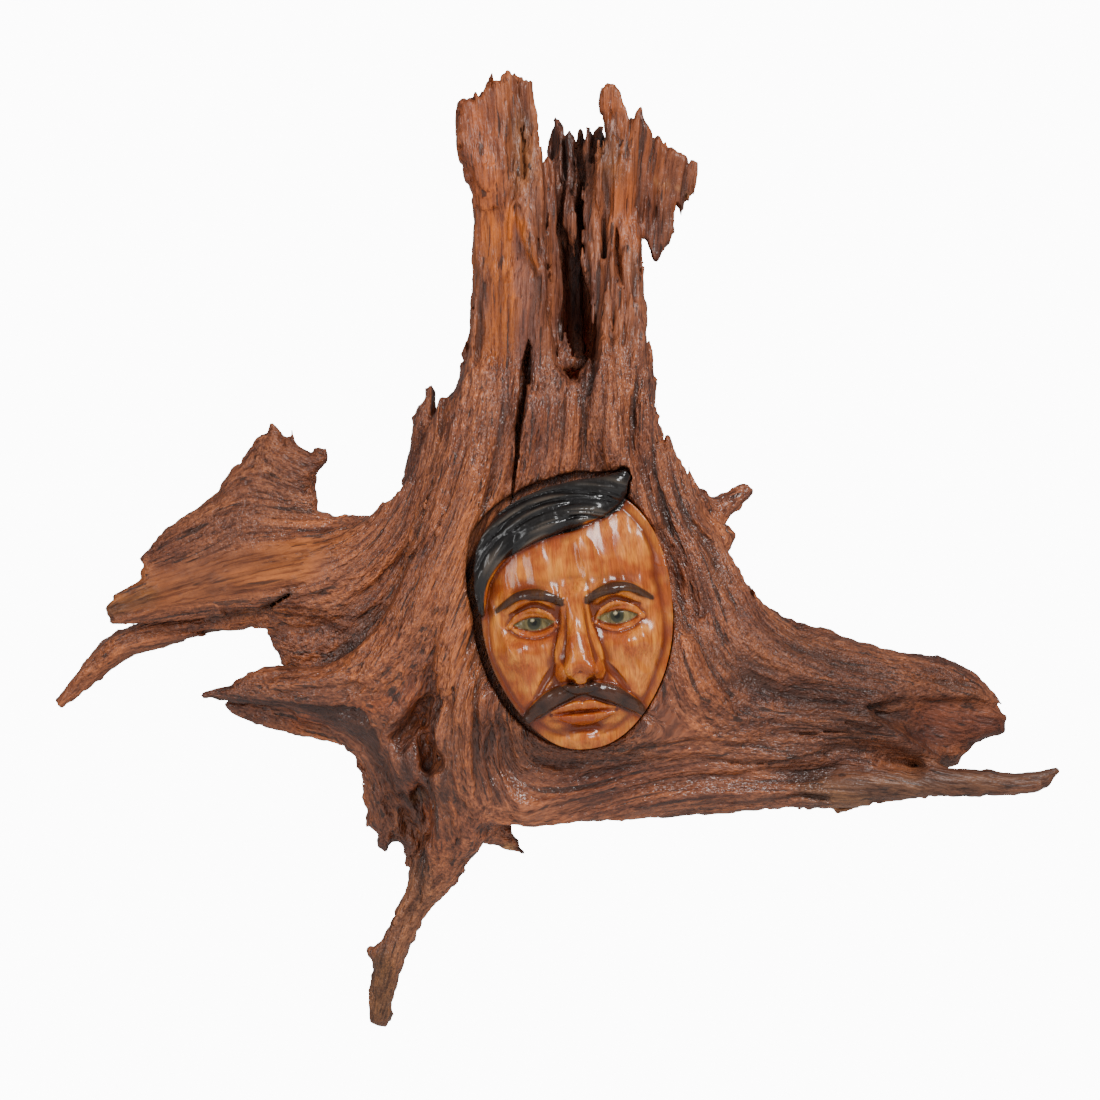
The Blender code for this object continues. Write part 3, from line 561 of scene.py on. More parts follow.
def noise(places, sizes, seed=0, octaves=1):
    """Smooth noise from 0 to 1 whose cells have the given sizes."""
    points = [p / s for p, s in zip(places, sizes)]
    total = reach = 0
    for octave in range(octaves):
        lows = [np.floor(p) for p in points]
        eased = [(p - low) ** 2 * (3 - 2 * (p - low)) for p, low in zip(points, lows)]
        share = 0.5**octave
        for corner in np.ndindex(*[2] * len(sizes)):
            weight = share
            for far, part in zip(corner, eased):
                weight = weight * (part if far else 1 - part)
            cells = [low + far for low, far in zip(lows, corner)]
            total = total + weight * hashed(cells, seed + 100 * octave)
        reach += share
        points = [p * 2.03 + 7.1 for p in points]
    return total / reach


def ridged(places, sizes, seed=0):
    """Noise with sharp crests at 1 and soft hollows at 0."""
    return 1 - np.abs(2 * noise(places, sizes, seed) - 1)


def smooth(value, low, high):
    """0 at low and 1 at high, eased between them."""
    t = np.clip((value - low) / (high - low), 0, 1)
    return t * t * (3 - 2 * t)


def area(x, z, path, width, sharpness=2):
    """1 on a path of the front view, falling to 0 beside it."""
    away, _ = along_path(x, z, curved([(*p, 0) for p in path], 4))
    return np.exp(-((away / width) ** sharpness))


# The grain runs along these lines, down the trunk and out along the roots.
GRAIN_STEP = 3.0
GRAIN_ROUNDS = 80
GRAIN_LINES = [
    # trunk into the wing's fold, and the wing's upper plate
    [(-56, 285), (-50, 200), (-52, 130), (-64, 90), (-84, 52), (-115, 20), (-160, 2), (-210, -12),
     (-270, -24)],
    [(-90, 40), (-130, 22), (-180, 14), (-225, 0), (-255, -10)],
    [(-120, 28), (-160, 36), (-195, 44), (-225, 30)],
    [(-140, 34), (-155, 56), (-172, 88)],
    # left root
    [(-140, -12), (-180, -26), (-215, -33), (-244, -38), (-267, -47), (-288, -65), (-302, -80)],
    # bowl beside the face
    [(-66, 80), (-84, 36), (-112, -8), (-148, -34), (-180, -38)],
    # trunk into the spike
    [(-42, 290), (-34, 200), (-38, 120), (-50, 60), (-66, 8), (-90, -34), (-130, -62), (-170, -70),
     (-214, -75)],
    [(-110, -80), (-150, -88), (-200, -82)],
    # trunk beside the face into the bottom root
    [(-26, 292), (-18, 200), (-24, 120), (-40, 60), (-52, 20), (-58, -30), (-60, -80), (-66, -130),
     (-78, -180), (-96, -222), (-108, -268)],
    [(-84, -92), (-98, -120), (-106, -150), (-114, -168)],
    [(-44, -130), (-38, -155), (-22, -170)],
    # trunk over the face
    [(-4, 268), (-4, 190), (-8, 110), (-20, 66), (-38, 34)],
    [(12, 268), (10, 190), (8, 110), (10, 60)],
    # swirl under the face into the long lower root
    [(-46, 20), (-50, -50), (-48, -92), (-34, -118), (0, -128), (60, -131), (130, -131), (200, -127),
     (260, -127), (298, -120)],
    [(-36, -94), (-22, -112), (10, -120), (60, -120), (110, -116), (160, -112), (200, -116)],
    # trunk into the right root
    [(24, 268), (24, 200), (28, 120), (42, 64), (62, 18), (80, -24), (104, -58), (140, -78),
     (190, -88), (252, -92)],
    [(66, 0), (70, -40), (84, -74), (116, -94), (160, -92), (200, -96), (222, -110)],
    [(40, 290), (42, 200), (46, 120), (58, 66), (78, 24), (98, -8), (128, -34), (170, -54),
     (225, -66), (266, -86)],
    [(62, 256), (58, 225), (58, 190)],
    [(78, 240), (74, 225), (70, 200)],
    # knob
    [(64, 66), (84, 34), (98, 38), (113, 49)],
]


def directions(x, z):
    """The direction of the grain at each point of the front view, and 1 near a line of it."""
    along_x = along_z = 0
    nearest = np.inf
    for line in GRAIN_LINES:
        path = curved(line, 5)
        step = np.gradient(path, axis=0)
        step /= np.hypot(*step.T)[:, None]
        away, (step_x, step_z, _) = along_path(x, z, np.column_stack([path, step, 0 * path[:, 0]]))
        weight = (away**2 + 36) ** -1.6
        along_x = along_x + weight * step_x
        along_z = along_z + weight * step_z
        nearest = np.minimum(nearest, away)
    length = np.hypot(along_x, along_z) + 1e-12
    return along_x / length, along_z / length, 0.004 + np.exp(-((nearest / 26) ** 4))


def gathered(step_x, step_z):
    """What the steps between neighbouring grid points add up to at each point."""
    total = np.zeros((step_z.shape[0], step_x.shape[1]))
    total[:-1] -= step_x
    total[1:] += step_x
    total[:, :-1] -= step_z
    total[:, 1:] += step_z
    return total


def levelled(spread):
    """The map whose steps gather into the given spread, found from its waves."""
    doubled = np.block([[spread, spread[:, ::-1]], [spread[::-1], spread[::-1, ::-1]]])
    waves = [2 - 2 * np.cos(2 * np.pi * np.arange(n) / n) for n in doubled.shape]
    scale = waves[0][:, None] + waves[1][None, :]
    scale[0, 0] = 1
    solved = np.real(np.fft.ifft2(np.fft.fft2(doubled) / scale))
    return solved[: spread.shape[0], : spread.shape[1]]


def potential(slope_x, slope_z, weight):
    """The map whose slopes come nearest to those given, where the weight is high."""
    weights = [(weight[1:] + weight[:-1]) / 2, (weight[:, 1:] + weight[:, :-1]) / 2]
    step_x = (slope_x[1:] + slope_x[:-1]) / 2 * GRAIN_STEP
    step_z = (slope_z[:, 1:] + slope_z[:, :-1]) / 2 * GRAIN_STEP
    left = gathered(weights[0] * step_x, weights[1] * step_z)
    solved = np.zeros(weight.shape)
    ahead = eased = levelled(left)
    size = (left * eased).sum()
    for _ in range(GRAIN_ROUNDS):
        turned = gathered(weights[0] * np.diff(ahead, axis=0), weights[1] * np.diff(ahead, axis=1))
        stride = size / (ahead * turned).sum()
        solved = solved + stride * ahead
        left = left - stride * turned
        eased = levelled(left)
        size, before = (left * eased).sum(), size
        ahead = eased + size / before * ahead
    return solved


class FrontMap:
    """A value over the front view, read between its grid points."""

    def __init__(self, xs, zs, values):
        self.xs, self.zs, self.values = xs, zs, values

    def at(self, x, z):
        i = np.clip(np.interp(x, self.xs, np.arange(len(self.xs))), 0, len(self.xs) - 1.001)
        j = np.clip(np.interp(z, self.zs, np.arange(len(self.zs))), 0, len(self.zs) - 1.001)
        i0, j0 = i.astype(int), j.astype(int)
        s, t = i - i0, j - j0
        low = self.values[i0, j0] * (1 - s) + self.values[i0 + 1, j0] * s
        high = self.values[i0, j0 + 1] * (1 - s) + self.values[i0 + 1, j0 + 1] * s
        return low * (1 - t) + high * t


def grain_maps():
    """How far each point lies across the grain and along it, and the grain's direction."""
    xs, zs = [np.arange(low - 10, high + 10, GRAIN_STEP) for low, high in BLOCK[:2]]
    along_x, along_z, weight = directions(xs[:, None], zs[None, :])
    across = potential(along_z, -along_x, weight)
    along = potential(along_x, along_z, weight)
    return [FrontMap(xs, zs, m) for m in (across, along, along_x, along_z)]


ACROSS_GRAIN, ALONG_GRAIN, GRAIN_X, GRAIN_Z = grain_maps()

# Broken ends, where splinters stick out along the grain: (x, z, reach, length of the splinters)
BROKEN_ENDS = [
    (-36, 286, 26, 7), (4, 262, 24, 13), (33, 284, 18, 4), (62, 256, 20, 8), (74, 216, 26, 11),
    (58, 188, 14, 13), (-160, 80, 30, 7), (-262, -18, 14, 3), (262, -96, 26, 6), (-106, -164, 24, 11),
    (-92, -188, 12, 8), (-78, 104, 18, 7), (-192, -86, 20, 6), (86, 46, 26, 8), (70, 72, 18, 9),
    (-22, -168, 10, 2), (-230, 24, 30, 3), (-116, -130, 16, 8), (57, 104, 10, 5),
]


def broken(x, z):
    """How long the splinters are at each point of the front view."""
    length = 0
    for cx, cz, reach, splinters in BROKEN_ENDS:
        length = length + splinters * np.exp(-(((x - cx) ** 2 + (z - cz) ** 2) / reach**2) ** 1.5)
    return length


def torn(u, v, width, seed):
    """The lengths of torn fibres beside each other, from 0 to 1, each with a slanted tip."""
    place = u / width + 1.2 * noise([u, v], (width * 5, 50), seed)
    cell = np.floor(place)
    slant = hashed([cell, cell], seed + 1) - 0.5
    return np.clip(hashed([cell, -cell], seed + 2) + slant * (place - cell - 0.5), 0, 1)


def laths(u, v, width, length, seed):
    """Heights from -0.5 to 0.5 of split laths that lie side by side along the grain."""
    place = u / width + 0.9 * noise([u, v], (width * 5, length), seed)
    column = np.floor(place)
    piece = np.floor(v / length + 7 * hashed([column], seed + 1) + 0.25 * (place - column))
    return hashed([column, piece], seed + 2) - 0.5


def frayed(x, z):
    """Where the plain shape is read, so that its outline is ragged and its broken ends fray."""
    length = broken(x, z)
    u = ACROSS_GRAIN.at(x, z)
    v = ALONG_GRAIN.at(x, z)
    jag = (0.76 * torn(u, v, 5.6, 3) + 0.24 * torn(u, v, 3.2, 7) - 0.7) * length
    gnarled = 8 * area(x, z, [(-96, -72), (-88, -110), (-86, -165)], 26, 4)
    rough = [
        1.8 * (noise([x, z], (3.4, 3.4), seed, 2) - 0.5)
        + gnarled * (noise([x, z], (14, 14), seed + 4, 2) - 0.5)
        for seed in (12, 13)
    ]
    return x - GRAIN_X.at(x, z) * jag + rough[0], z - GRAIN_Z.at(x, z) * jag + rough[1]


# How far the fine columns reach beside the middle, and where the fine layers begin and end
FINE_REACH = 84
FINE_FROM = 24
FINE_TO = 122


def stump_axes():
    """The grid, finer across the upright grain of the trunk and coarser behind."""
    (x_low, x_high), (z_low, z_high), (out_low, _) = BLOCK
    xs = np.concatenate([
        np.arange(x_low, -FINE_REACH, STUMP_STEP),
        np.arange(-FINE_REACH, FINE_REACH, STUMP_STEP * 0.7),
        np.arange(FINE_REACH, x_high, STUMP_STEP),
    ])
    zs = np.arange(z_low, z_high, STUMP_STEP)
    outs = np.concatenate([
        np.arange(out_low, FINE_FROM, STUMP_STEP * 2),
        np.arange(FINE_FROM, FINE_TO, STUMP_STEP),
    ])
    return xs, zs, outs


# How far out the floor of the face's recess lies
FACE_FLOOR = FACE_RIM - FACE_RECESS


def face_edge(x, z):
    """The distance to the edge of the carved face, below zero on it, and the face's coordinates."""
    u, v = face_coordinates(x, z)
    size = min(FACE_WIDTH, FACE_HEIGHT) / 2
    away, (_, width) = along_path(u, v, curved(HAIR))
    across, along = swirl(u, v)
    uneven = 3.4 * (noise([across, along], (4, 16), 54, 2) - 0.5)
    return np.minimum((oval(u, v) - 1) * size, away - width - uneven), u, v


def shade_side(u, v):
    """1 along the left of the face, where its crevice is wide and dark, and less to the right."""
    return 0.12 + 0.88 * smooth(u - 0.4 * v, 22, -34)


# Ends of the roots, which are calmer: (share, half width, path)
ROOT_TIPS = [
    (1, 13, [(170, -128), (240, -127), (297, -120)]), (0.5, 12, [(-302, -80), (-240, -40)]),
    (0.9, 20, [(214, -90), (262, -97)]), (0.35, 16, [(-86, -196), (-108, -268)]),
]


def calmness(x, z):
    """How much bark each part of the front view has, how deep it is cracked, and the wing's plate."""
    plate = area(x, z, [(-225, 14), (-185, 44), (-160, 66)], 30, 4)
    tips = sum(share * area(x, z, path, width, 4) for share, width, path in ROOT_TIPS)
    tips = np.clip(tips, 0, 1)
    honey = area(x, z, [(-33, 204), (-33, 160), (-36, 126)], 11, 6)
    ribs = area(x, z, [(32, 270), (34, 190), (30, 130)], 22)
    prong = area(x, z, [(-47, 285), (-46, 238)], 14, 4) + area(x, z, [(-20, 200), (-20, 132)], 8, 4)
    fold = area(x, z, [(-268, -16), (-225, -8), (-190, -2), (-150, 8)], 15, 6)
    bark = smooth(z, 150, 112) * (1 - 0.75 * tips) * (1 - 0.85 * fold) + 0.2 * smooth(z, 112, 150)
    depth = (1 - 0.6 * plate) * (1 - 0.75 * tips) * (1 - 0.75 * honey) * (1 - 0.5 * fold)
    depth = depth * (1 + 0.5 * ribs) * (1 - 0.5 * prong)
    return bark, depth, plate


# Flakes that lie on the left prong, drawn to their torn lower edges, and how thick they are
FLAKES = [
    ([(-64, 300), (-62, 250), (-57, 231), (-50, 223), (-44, 220), (-39, 222), (-34, 228), (-31, 236),
      (-29, 250), (-30, 300)], 2.8),
    ([(-64, 240), (-56, 222), (-51, 216), (-45, 213), (-38, 215), (-32, 221), (-28, 230), (-30, 240)], 2.0),
    ([(-28, 216), (-25, 218), (-21, 208), (-18, 196), (-15, 180), (-13, 176), (-14, 192), (-17, 210),
      (-21, 222), (-26, 224), (-30, 216), (-31, 196), (-29, 196)], 2.2),
]


def flakes(x, z):
    """The thickness of the flakes at each point of the front view."""
    height = np.zeros(x.shape)
    near = (x < -8) & (z > 170)
    fx, fz = x[near], z[near]
    torn_z = fz + 4.0 * (torn(fx, fz, 2.2, 15) - 0.5)
    for outline, thick in FLAKES:
        height[near] += thick * smooth(from_outline(fx, torn_z, outline), 0.5, -0.5)
    return height


# The farthest that the weathering reaches in or out from the plain shape
DEEPEST_CUT = 4.2

# Thin parts, which are weathered less: (half width, path)
THIN_PARTS = [
    (12, [(90, 40), (113, 49)]), (9, [(-88, 96), (-76, 60)]), (9, [(-216, -75), (-180, -76)]),
    (8, [(164, -143), (178, -143)]), (8, [(-34, -160), (-22, -170)]), (7, [(-106, -231), (-115, -230)]),
    (9, [(-116, -150), (-104, -168)]), (10, [(258, -66), (268, -100)]), (12, [(180, -44), (246, -58)]),
    (9, [(28, 284), (36, 284)]), (8, [(40, 200), (68, 200)]),
]


def exposed(out):
    """1 on the front of the stump, and less towards the wall, where it is plainer."""
    return 0.4 + 0.6 * smooth(out, 12, 36)


def weathering(x, out, z, u, v):
    """The flutes, ridges and cracks of the wood, in millimetres out from the plain shape."""
    bark, depth, _ = calmness(x, z)
    across = u + 6 * (noise([x, z], (24, 24), 11) - 0.5)
    height = (4.0 + 2.0 * bark) * (noise([across, v, out], (14, 110, 14), 21) - 0.5)
    height += (1.2 + 2.2 * bark) * (ridged([across, v, out], (8, 80, 9), 22) - 0.62)
    height += (0.6 + 0.9 * bark) * (ridged([across, v, out], (3.6, 34, 4), 23) - 0.6)
    height += (2.2 - 1.0 * bark) * laths(across, v, 6.4, 64, 24)
    height += (1.9 - 0.9 * bark) * laths(across, v, 2.8, 34, 27)
    height -= 2.6 * smooth(noise([across, v, out], (5.2, 60, 12), 31), 0.68, 0.84)
    ends = np.clip(broken(x, z) / 12, 0, 1)
    height -= 2.4 * ends * smooth(noise([u, v, out], (2.6, 60, 4.5), 33), 0.56, 0.7)
    thin = sum(area(x, z, path, width, 4) for width, path in THIN_PARTS)
    height = height * depth * (1 - 0.8 * np.clip(thin, 0, 1)) + flakes(x, z)
    return DEEPEST_CUT * np.tanh(height / DEEPEST_CUT) * exposed(out)


# How near the surface the wood is weathered
NEAR_SURFACE = 5


def weather(field, axes):
    """Works the flutes, ridges and cracks into the field near its surface."""
    xs, zs, outs = axes
    i, j, k = [n + 1 for n in np.nonzero(np.abs(field[1:-1, 1:-1, 1:-1]) < NEAR_SURFACE)]
    slope = 0
    for axis, values in enumerate(axes):
        ahead, behind = [i, j, k], [i, j, k]
        ahead[axis], behind[axis] = ahead[axis] + 1, behind[axis] - 1
        apart = values[ahead[axis]] - values[behind[axis]]
        slope = slope + ((field[tuple(ahead)] - field[tuple(behind)]) / apart) ** 2
    px, pz, out = xs[i], zs[j], outs[k]
    height = weathering(px, out, pz, ACROSS_GRAIN.at(px, pz), ALONG_GRAIN.at(px, pz))
    edge, _, _ = face_edge(xs[:, None], zs[None, :])
    calm = 0.25 + 0.75 * smooth(np.abs(edge), 1, 9)
    field[i, j, k] -= height * calm[i, j] * np.clip(np.sqrt(slope), 0.2, 1.2)
    return edge


# The split runs down the trunk between these points
SPLIT = [(-19, 138), (-30, 28)]


def front_of(field, outs):
    """How far out the wood reaches at each point of the front view."""
    return np.where(field < 0, outs[None, None, :], 0).max(2)


def cut_split(field, x, z, outs):
    """The field with the split cut in the front of the wood, closed at both of its ends."""
    (top_x, top_z), (foot_x, foot_z) = SPLIT
    middle = top_x + (foot_x - top_x) * (top_z - z) / (top_z - foot_z)
    middle = middle + 1.6 * (noise([z, 0 * z], (17, 1), 91) - 0.5)
    wide = SPLIT_WIDTH * smooth(z, 26, 100) * smooth(z, 142, 120) + 0.5
    deep = SPLIT_DEPTH * smooth(wide, 0.2, 3) * smooth(z, 27, 36) * smooth(z, 142, 134)
    split = outs - (front_of(field, outs) - deep)[:, :, None]
    split = np.minimum(split, (wide / 2 - np.abs(x - middle))[:, :, None])
    return np.where((deep > 0.5)[:, :, None], np.maximum(field, split), field)


def stump_surface():
    """The surface of the weathered stump, and how far out its front lies."""
    axes = stump_axes()
    xs, zs, outs = axes
    x, z = np.meshgrid(xs, zs, indexing="ij")
    field = wood_field(xs, zs, outs, *frayed(x, z))
    edge = weather(field, axes)
    _, u, v = face_edge(x, z)
    gap = CREVICE_WIDTH / 2 * shade_side(u, v)
    recess = np.minimum((gap - edge)[:, :, None], outs - FACE_FLOOR + CREVICE_DEPTH)
    field = np.maximum(field, recess)
    field = np.maximum(cut_split(field, x, z, outs), -outs[None, None, :])
    points, quads = surface_net(field, axes)
    return points, quads, FrontMap(xs, zs, front_of(field, outs))


def fine_relief(x, out, z, u, v):
    """Fibres, grit and pits, in millimetres."""
    bark, depth, plate = calmness(x, z)
    height = 1.3 * (noise([u, v, out], (1.9, 16, 2.4), 24) - 0.5) * depth
    height += 1.2 * (noise([u, v, out], (2.4, 6.0, 2.4), 41, 2) - 0.5) * bark * depth
    pits = smooth(noise([x, z, out], (2.8, 2.4, 2.8), 42), 0.6, 0.8)
    height -= 0.9 * pits * (0.25 * bark + 0.75 * plate)
    return height * exposed(out)


def placed(name, data):
    """A new object in the scene."""
    obj = bpy.data.objects.new(name, data)
    bpy.context.collection.objects.link(obj)
    return obj


def new_object(name, points, quads):
    """A mesh object from points in millimetres (x, z, out)."""
    x, z, out = points.T
    mesh = bpy.data.meshes.new(name)
    mesh.from_pydata(np.column_stack([x * ACROSS, -out * OUTWARD, z * ACROSS]) * MM, [], quads)
    mesh.update()
    return placed(name, mesh)


def flat_places(mesh):
    """The places of the mesh's vertices, one after the other in one row."""
    flat = np.empty(3 * len(mesh.vertices))
    mesh.vertices.foreach_get("co", flat)
    return flat


def coordinates(mesh):
    """The mesh's vertices as x, out and z in millimetres."""
    x, y, z = flat_places(mesh).reshape(-1, 3).T / MM
    return x / ACROSS, -y / OUTWARD, z / ACROSS


def push_out(mesh, height):
    """Moves each vertex along its normal by height millimetres."""
    normals = np.empty(3 * len(mesh.vertices))
    mesh.vertex_normals.foreach_get("vector", normals)
    mesh.vertices.foreach_set("co", flat_places(mesh) + normals * np.repeat(height * MM, 3))
    mesh.update()


def store(mesh, name, values):
    """Keeps a value or a vector for each vertex, for the material to read."""
    kind = "FLOAT_VECTOR" if values.ndim == 2 else "FLOAT"
    layer = mesh.attributes.new(name, kind, "POINT")
    layer.data.foreach_set("vector" if values.ndim == 2 else "value", values.astype(np.float32).ravel())


def thinned(obj, triangles):
    """The object, with no more than this many triangles."""
    count = sum(len(p.vertices) - 2 for p in obj.data.polygons)
    if count > triangles:
        thin = obj.modifiers.new("thin_out", "DECIMATE")
        thin.ratio = triangles / count
        thin.use_collapse_triangulate = True
        graph = bpy.context.evaluated_depsgraph_get()
        mesh = bpy.data.meshes.new_from_object(obj.evaluated_get(graph))
        obj.modifiers.clear()
        old = obj.data
        obj.data = mesh
        bpy.data.meshes.remove(old)
    obj.data.polygons.foreach_set("use_smooth", np.ones(len(obj.data.polygons), bool))
    return obj


def largest_body(points, quads):
    """Leaves only the largest connected body of a surface."""
    label = np.arange(len(points))
    while True:
        lowest = label[quads].min(1)
        spread = label.copy()
        for corner in quads.T:
            np.minimum.at(spread, corner, lowest)
        spread = spread[spread]
        if (spread == label).all():
            break
        label = spread
    main_label = np.bincount(label).argmax()
    kept = label == main_label
    index = np.cumsum(kept) - 1
    return points[kept], index[quads[kept[quads[:, 0]]]]


# Colours of the wood under its varnish; the dark one also serves as painted shade in several of the areas
# below
BARK = (0.243, 0.083, 0.041)
TINTS = {
    "honey": (0.38, 0.098, 0.012),
    "orange": (0.262, 0.067, 0.018),
    "tan": (0.31, 0.100, 0.038),
    "fold": (0.31, 0.098, 0.030),
    "violet": (0.200, 0.072, 0.047),
    "dusty": (0.19, 0.072, 0.040),
    "dark": (0.070, 0.028, 0.018),
    "red": (0.098, 0.028, 0.016),
    "grey": (0.100, 0.058, 0.042),
    "olive": (0.14, 0.068, 0.028),
    "pale": (0.25, 0.106, 0.054),
    "drab": (0.132, 0.064, 0.037),
    "cream": (0.55, 0.28, 0.12),
}
# (colour, strength, half width, sharpness of the edge, path)
TINTED_AREAS = [
    ("orange", 0.8, 15, 2, [(-48, 272), (-46, 230), (-40, 200)]),
    ("orange", 0.9, 14, 2, [(30, 278), (36, 240), (44, 205)]),
    ("orange", 0.4, 14, 2, [(60, 250), (62, 220)]),
    ("dark", 0.22, 14, 3, [(68, 236), (60, 200)]),
    ("violet", 0.9, 7, 4, [(-22, 208), (-20, 165), (-18, 125)]),
    ("honey", 1.0, 10, 6, [(-35, 202), (-34, 160), (-37, 128)]),
    ("honey", 0.5, 6, 3, [(-42, 214), (-46, 190), (-48, 165)]),
    ("violet", 1.0, 4, 4, [(-25, 204), (-24, 170)]),
    ("honey", 0.9, 3, 4, [(-32, 206), (-27, 214), (-21, 206), (-17, 190), (-14, 178)]),
    ("tan", 0.5, 24, 3, [(-56, 60), (-64, 10), (-76, -40), (-108, -64)]),
    ("fold", 1.0, 15, 5, [(-262, -14), (-225, -8), (-190, -2), (-160, 6)]),
    ("fold", 0.6, 8, 3, [(-160, 8), (-130, 16)]),
    ("tan", 0.75, 11, 2, [(-62, -120), (-74, -170), (-92, -205)]),
    ("tan", 0.7, 13, 2, [(-58, 0), (-58, -60), (-58, -110)]),
    ("pale", 0.8, 13, 3, [(-82, -186), (-98, -225)]),
    ("olive", 0.8, 12, 3, [(-108, -240), (-108, -268)]),
    ("dusty", 0.8, 32, 3, [(-220, 14), (-185, 44), (-160, 66)]),
    # painted shade in the bowl under the face
    ("dark", 0.65, 17, 2, [(-34, -108), (10, -110), (50, -106)]),
    ("dark", 0.62, 28, 2, [(110, -90), (170, -98)]),
    ("dark", 0.15, 14, 2, [(20, -134), (90, -134)]),
    # painted shade in the valley between the shoulder and the knotted fold
    ("dark", 0.65, 14, 2, [(150, -76), (200, -90), (214, -108)]),
    ("dark", 0.55, 30, 2, [(130, -46), (190, -66), (230, -70)]),
    ("red", 0.9, 15, 3, [(222, -90), (258, -96)]),
    # painted shade in the gap under the wing's fold
    ("dark", 0.9, 2.6, 2, [(-208, -29), (-182, -24), (-163, -13)]),
    ("drab", 0.85, 11, 3, [(150, -131), (230, -127), (298, -120)]),
    # painted shade in the hollows of the lower left, on this line and the next
    ("dark", 0.6, 9, 2, [(-96, -98), (-80, -84)]),
    ("dark", 0.6, 9, 2, [(-82, -108), (-84, -150)]),
    ("dark", 0.5, 16, 2, [(-104, -130), (-96, -165)]),
    ("dark", 0.3, 22, 2, [(-130, -30), (-160, -42)]),
    ("olive", 0.5, 10, 2, [(28, 260), (30, 240)]),
    ("olive", 0.5, 8, 2, [(-24, 265), (-22, 235)]),
    ("dark", 0.5, 16, 2, [(-210, -78), (-140, -80)]),
    ("orange", 0.7, 5, 3, [(-160, -92), (-120, -84), (-98, -76)]),
    ("orange", 0.7, 4, 3, [(-90, -70), (-80, -92), (-78, -112)]),
    ("orange", 0.6, 4, 3, [(-86, -124), (-80, -140), (-76, -158)]),
    ("tan", 0.5, 9, 3, [(-302, -80), (-268, -48)]),
    ("olive", 0.6, 7, 3, [(-270, -24), (-250, -16)]),
    ("grey", 0.5, 6, 2, [(2, 262), (6, 232)]),
    ("violet", 0.6, 16, 4, [(8, 262), (10, 122)]),
    # painted shade over the rotted channel
    ("dark", 0.4, 15, 4, [(8, 262), (10, 122)]),
    ("cream", 0.8, 3, 4, [(-84, -133), (-83, -133)]),
    ("cream", 0.9, 3, 4, [(-32, -165), (-31, -165)]),
    ("cream", 0.35, 1.3, 2, [(57, 233), (66, 231), (78, 225)]),
    ("cream", 0.4, 9, 3, [(164, -143), (178, -143)]),
]


def tint(x, z, u, v):
    """The colour of the wood at each place, in areas that are drawn out along the grain, some of them
    painted shade.
    """
    shift = 5 * (noise([u, v], (5, 60), 71) - 0.5) + 3 * (noise([x, z], (9, 9), 72) - 0.5)
    x = x + GRAIN_Z.at(x, z) * shift * 0.4 + GRAIN_X.at(x, z) * shift * 2
    z = z - GRAIN_X.at(x, z) * shift * 0.4 + GRAIN_Z.at(x, z) * shift * 2
    colour = np.array(BARK)[None, :].repeat(len(x), 0)
    for name, strength, width, sharpness, path in TINTED_AREAS:
        share = (strength * area(x, z, path, width, sharpness))[:, None]
        colour = colour * (1 - share) + np.array(TINTS[name]) * share
    return colour


def blurred(front, reach):
    """The front map, averaged over a square of this reach in grid steps."""
    values = front.values.astype(float)
    for axis in (0, 1):
        total = np.cumsum(np.insert(values, 0, 0, axis), axis)
        n = values.shape[axis]
        high = np.minimum(np.arange(n) + reach + 1, n)
        low = np.maximum(np.arange(n) - reach, 0)
        span = (high - low).reshape([-1, 1] if axis == 0 else [1, -1])
        values = (np.take(total, high, axis) - np.take(total, low, axis)) / span
    return FrontMap(front.xs, front.zs, values)


def make_stump():
    """The weathered stump, with what its material reads at each vertex."""
    points, quads, front = stump_surface()
    stump = new_object("weathered_stump", *largest_body(points, quads))
    mesh = stump.data
    x, out, z = coordinates(mesh)
    u, v = ACROSS_GRAIN.at(x, z), ALONG_GRAIN.at(x, z)
    edge, face_u, face_v = face_edge(x, z)
    fine = fine_relief(x, out, z, u, v) * smooth(out, 0.4, 6) * (0.2 + 0.8 * smooth(np.abs(edge), 0, 6))
    push_out(mesh, fine)
    deep = weathering(x, out, z, u, v) + fine
    # Painted shade: "hollow" darkens the wood that lies below the blurred front around it, most in deep
    # pits, and hardly at all in the channel
    sunk = blurred(front, 4).at(x, z) - out
    far_sunk = blurred(front, 14).at(x, z) - out
    in_pit = smooth(far_sunk, 14, 44)
    hollow = smooth(sunk, 4, 14) * 0.35 + in_pit * 0.6
    hollow = hollow * (1 - 0.95 * area(x, z, [(8, 262), (9, 120)], 18, 6))
    hollow = hollow * smooth(out, 20, 34) * (front.at(x, z) - out < 8)
    # Painted shade in the crevice around the face, with the dark paint along its left: the wood just
    # outside the face's edge, darkest at the left
    crevice_shade_and_paint = smooth(edge, 5, 0.5) * (edge > 0) * (shade_side(face_u, face_v) - 0.2)
    bark, _, plate = calmness(x, z)
    dull = area(x, z, [(110, -60), (180, -75), (250, -88)], 44, 4)
    store(mesh, "gloss", (0.35 + 0.65 * bark) * (1 - 0.55 * plate) * (1 - 0.55 * dull))
    store(mesh, "grain", np.column_stack([u, v, out]))
    # Painted light: the colour is made up to five and a half times lighter deep in the channel
    channel_painted_light = in_pit * area(x, z, [(8, 262), (9, 116)], 20, 6)
    store(mesh, "tint", tint(x, z, u, v) * (1 + 4.5 * channel_painted_light)[:, None])
    # painted shade in the grooves and painted light on the crests, from how far the weathering cuts in or
    # stands out
    store(mesh, "groove_shade_crest_light", np.clip(-deep / 3.2, -1, 1))
    store(mesh, "hollow", np.clip(hollow + crevice_shade_and_paint, 0, 1))
    store(mesh, "bark", bark)
    return thinned(stump, STUMP_TRIANGLES)


def swirl(u, v):
    """The hair's flow: how far each point lies across its locks and along them."""
    turn = np.arctan2(v, -u)
    return np.hypot(u, v) - 14 * turn, 60 * turn


def arch(u, v):
    """The eyebrows' flow."""
    side = np.abs(u)
    return v - 15.9 + 0.019 * (side - 27) ** 2, side


def droop(u, v):
    """The moustache's flow."""
    side = np.abs(u)
    return 0.49 * side + 0.87 * (v + 42) - 0.004 * side**2, 0.87 * side - 0.49 * (v + 42)


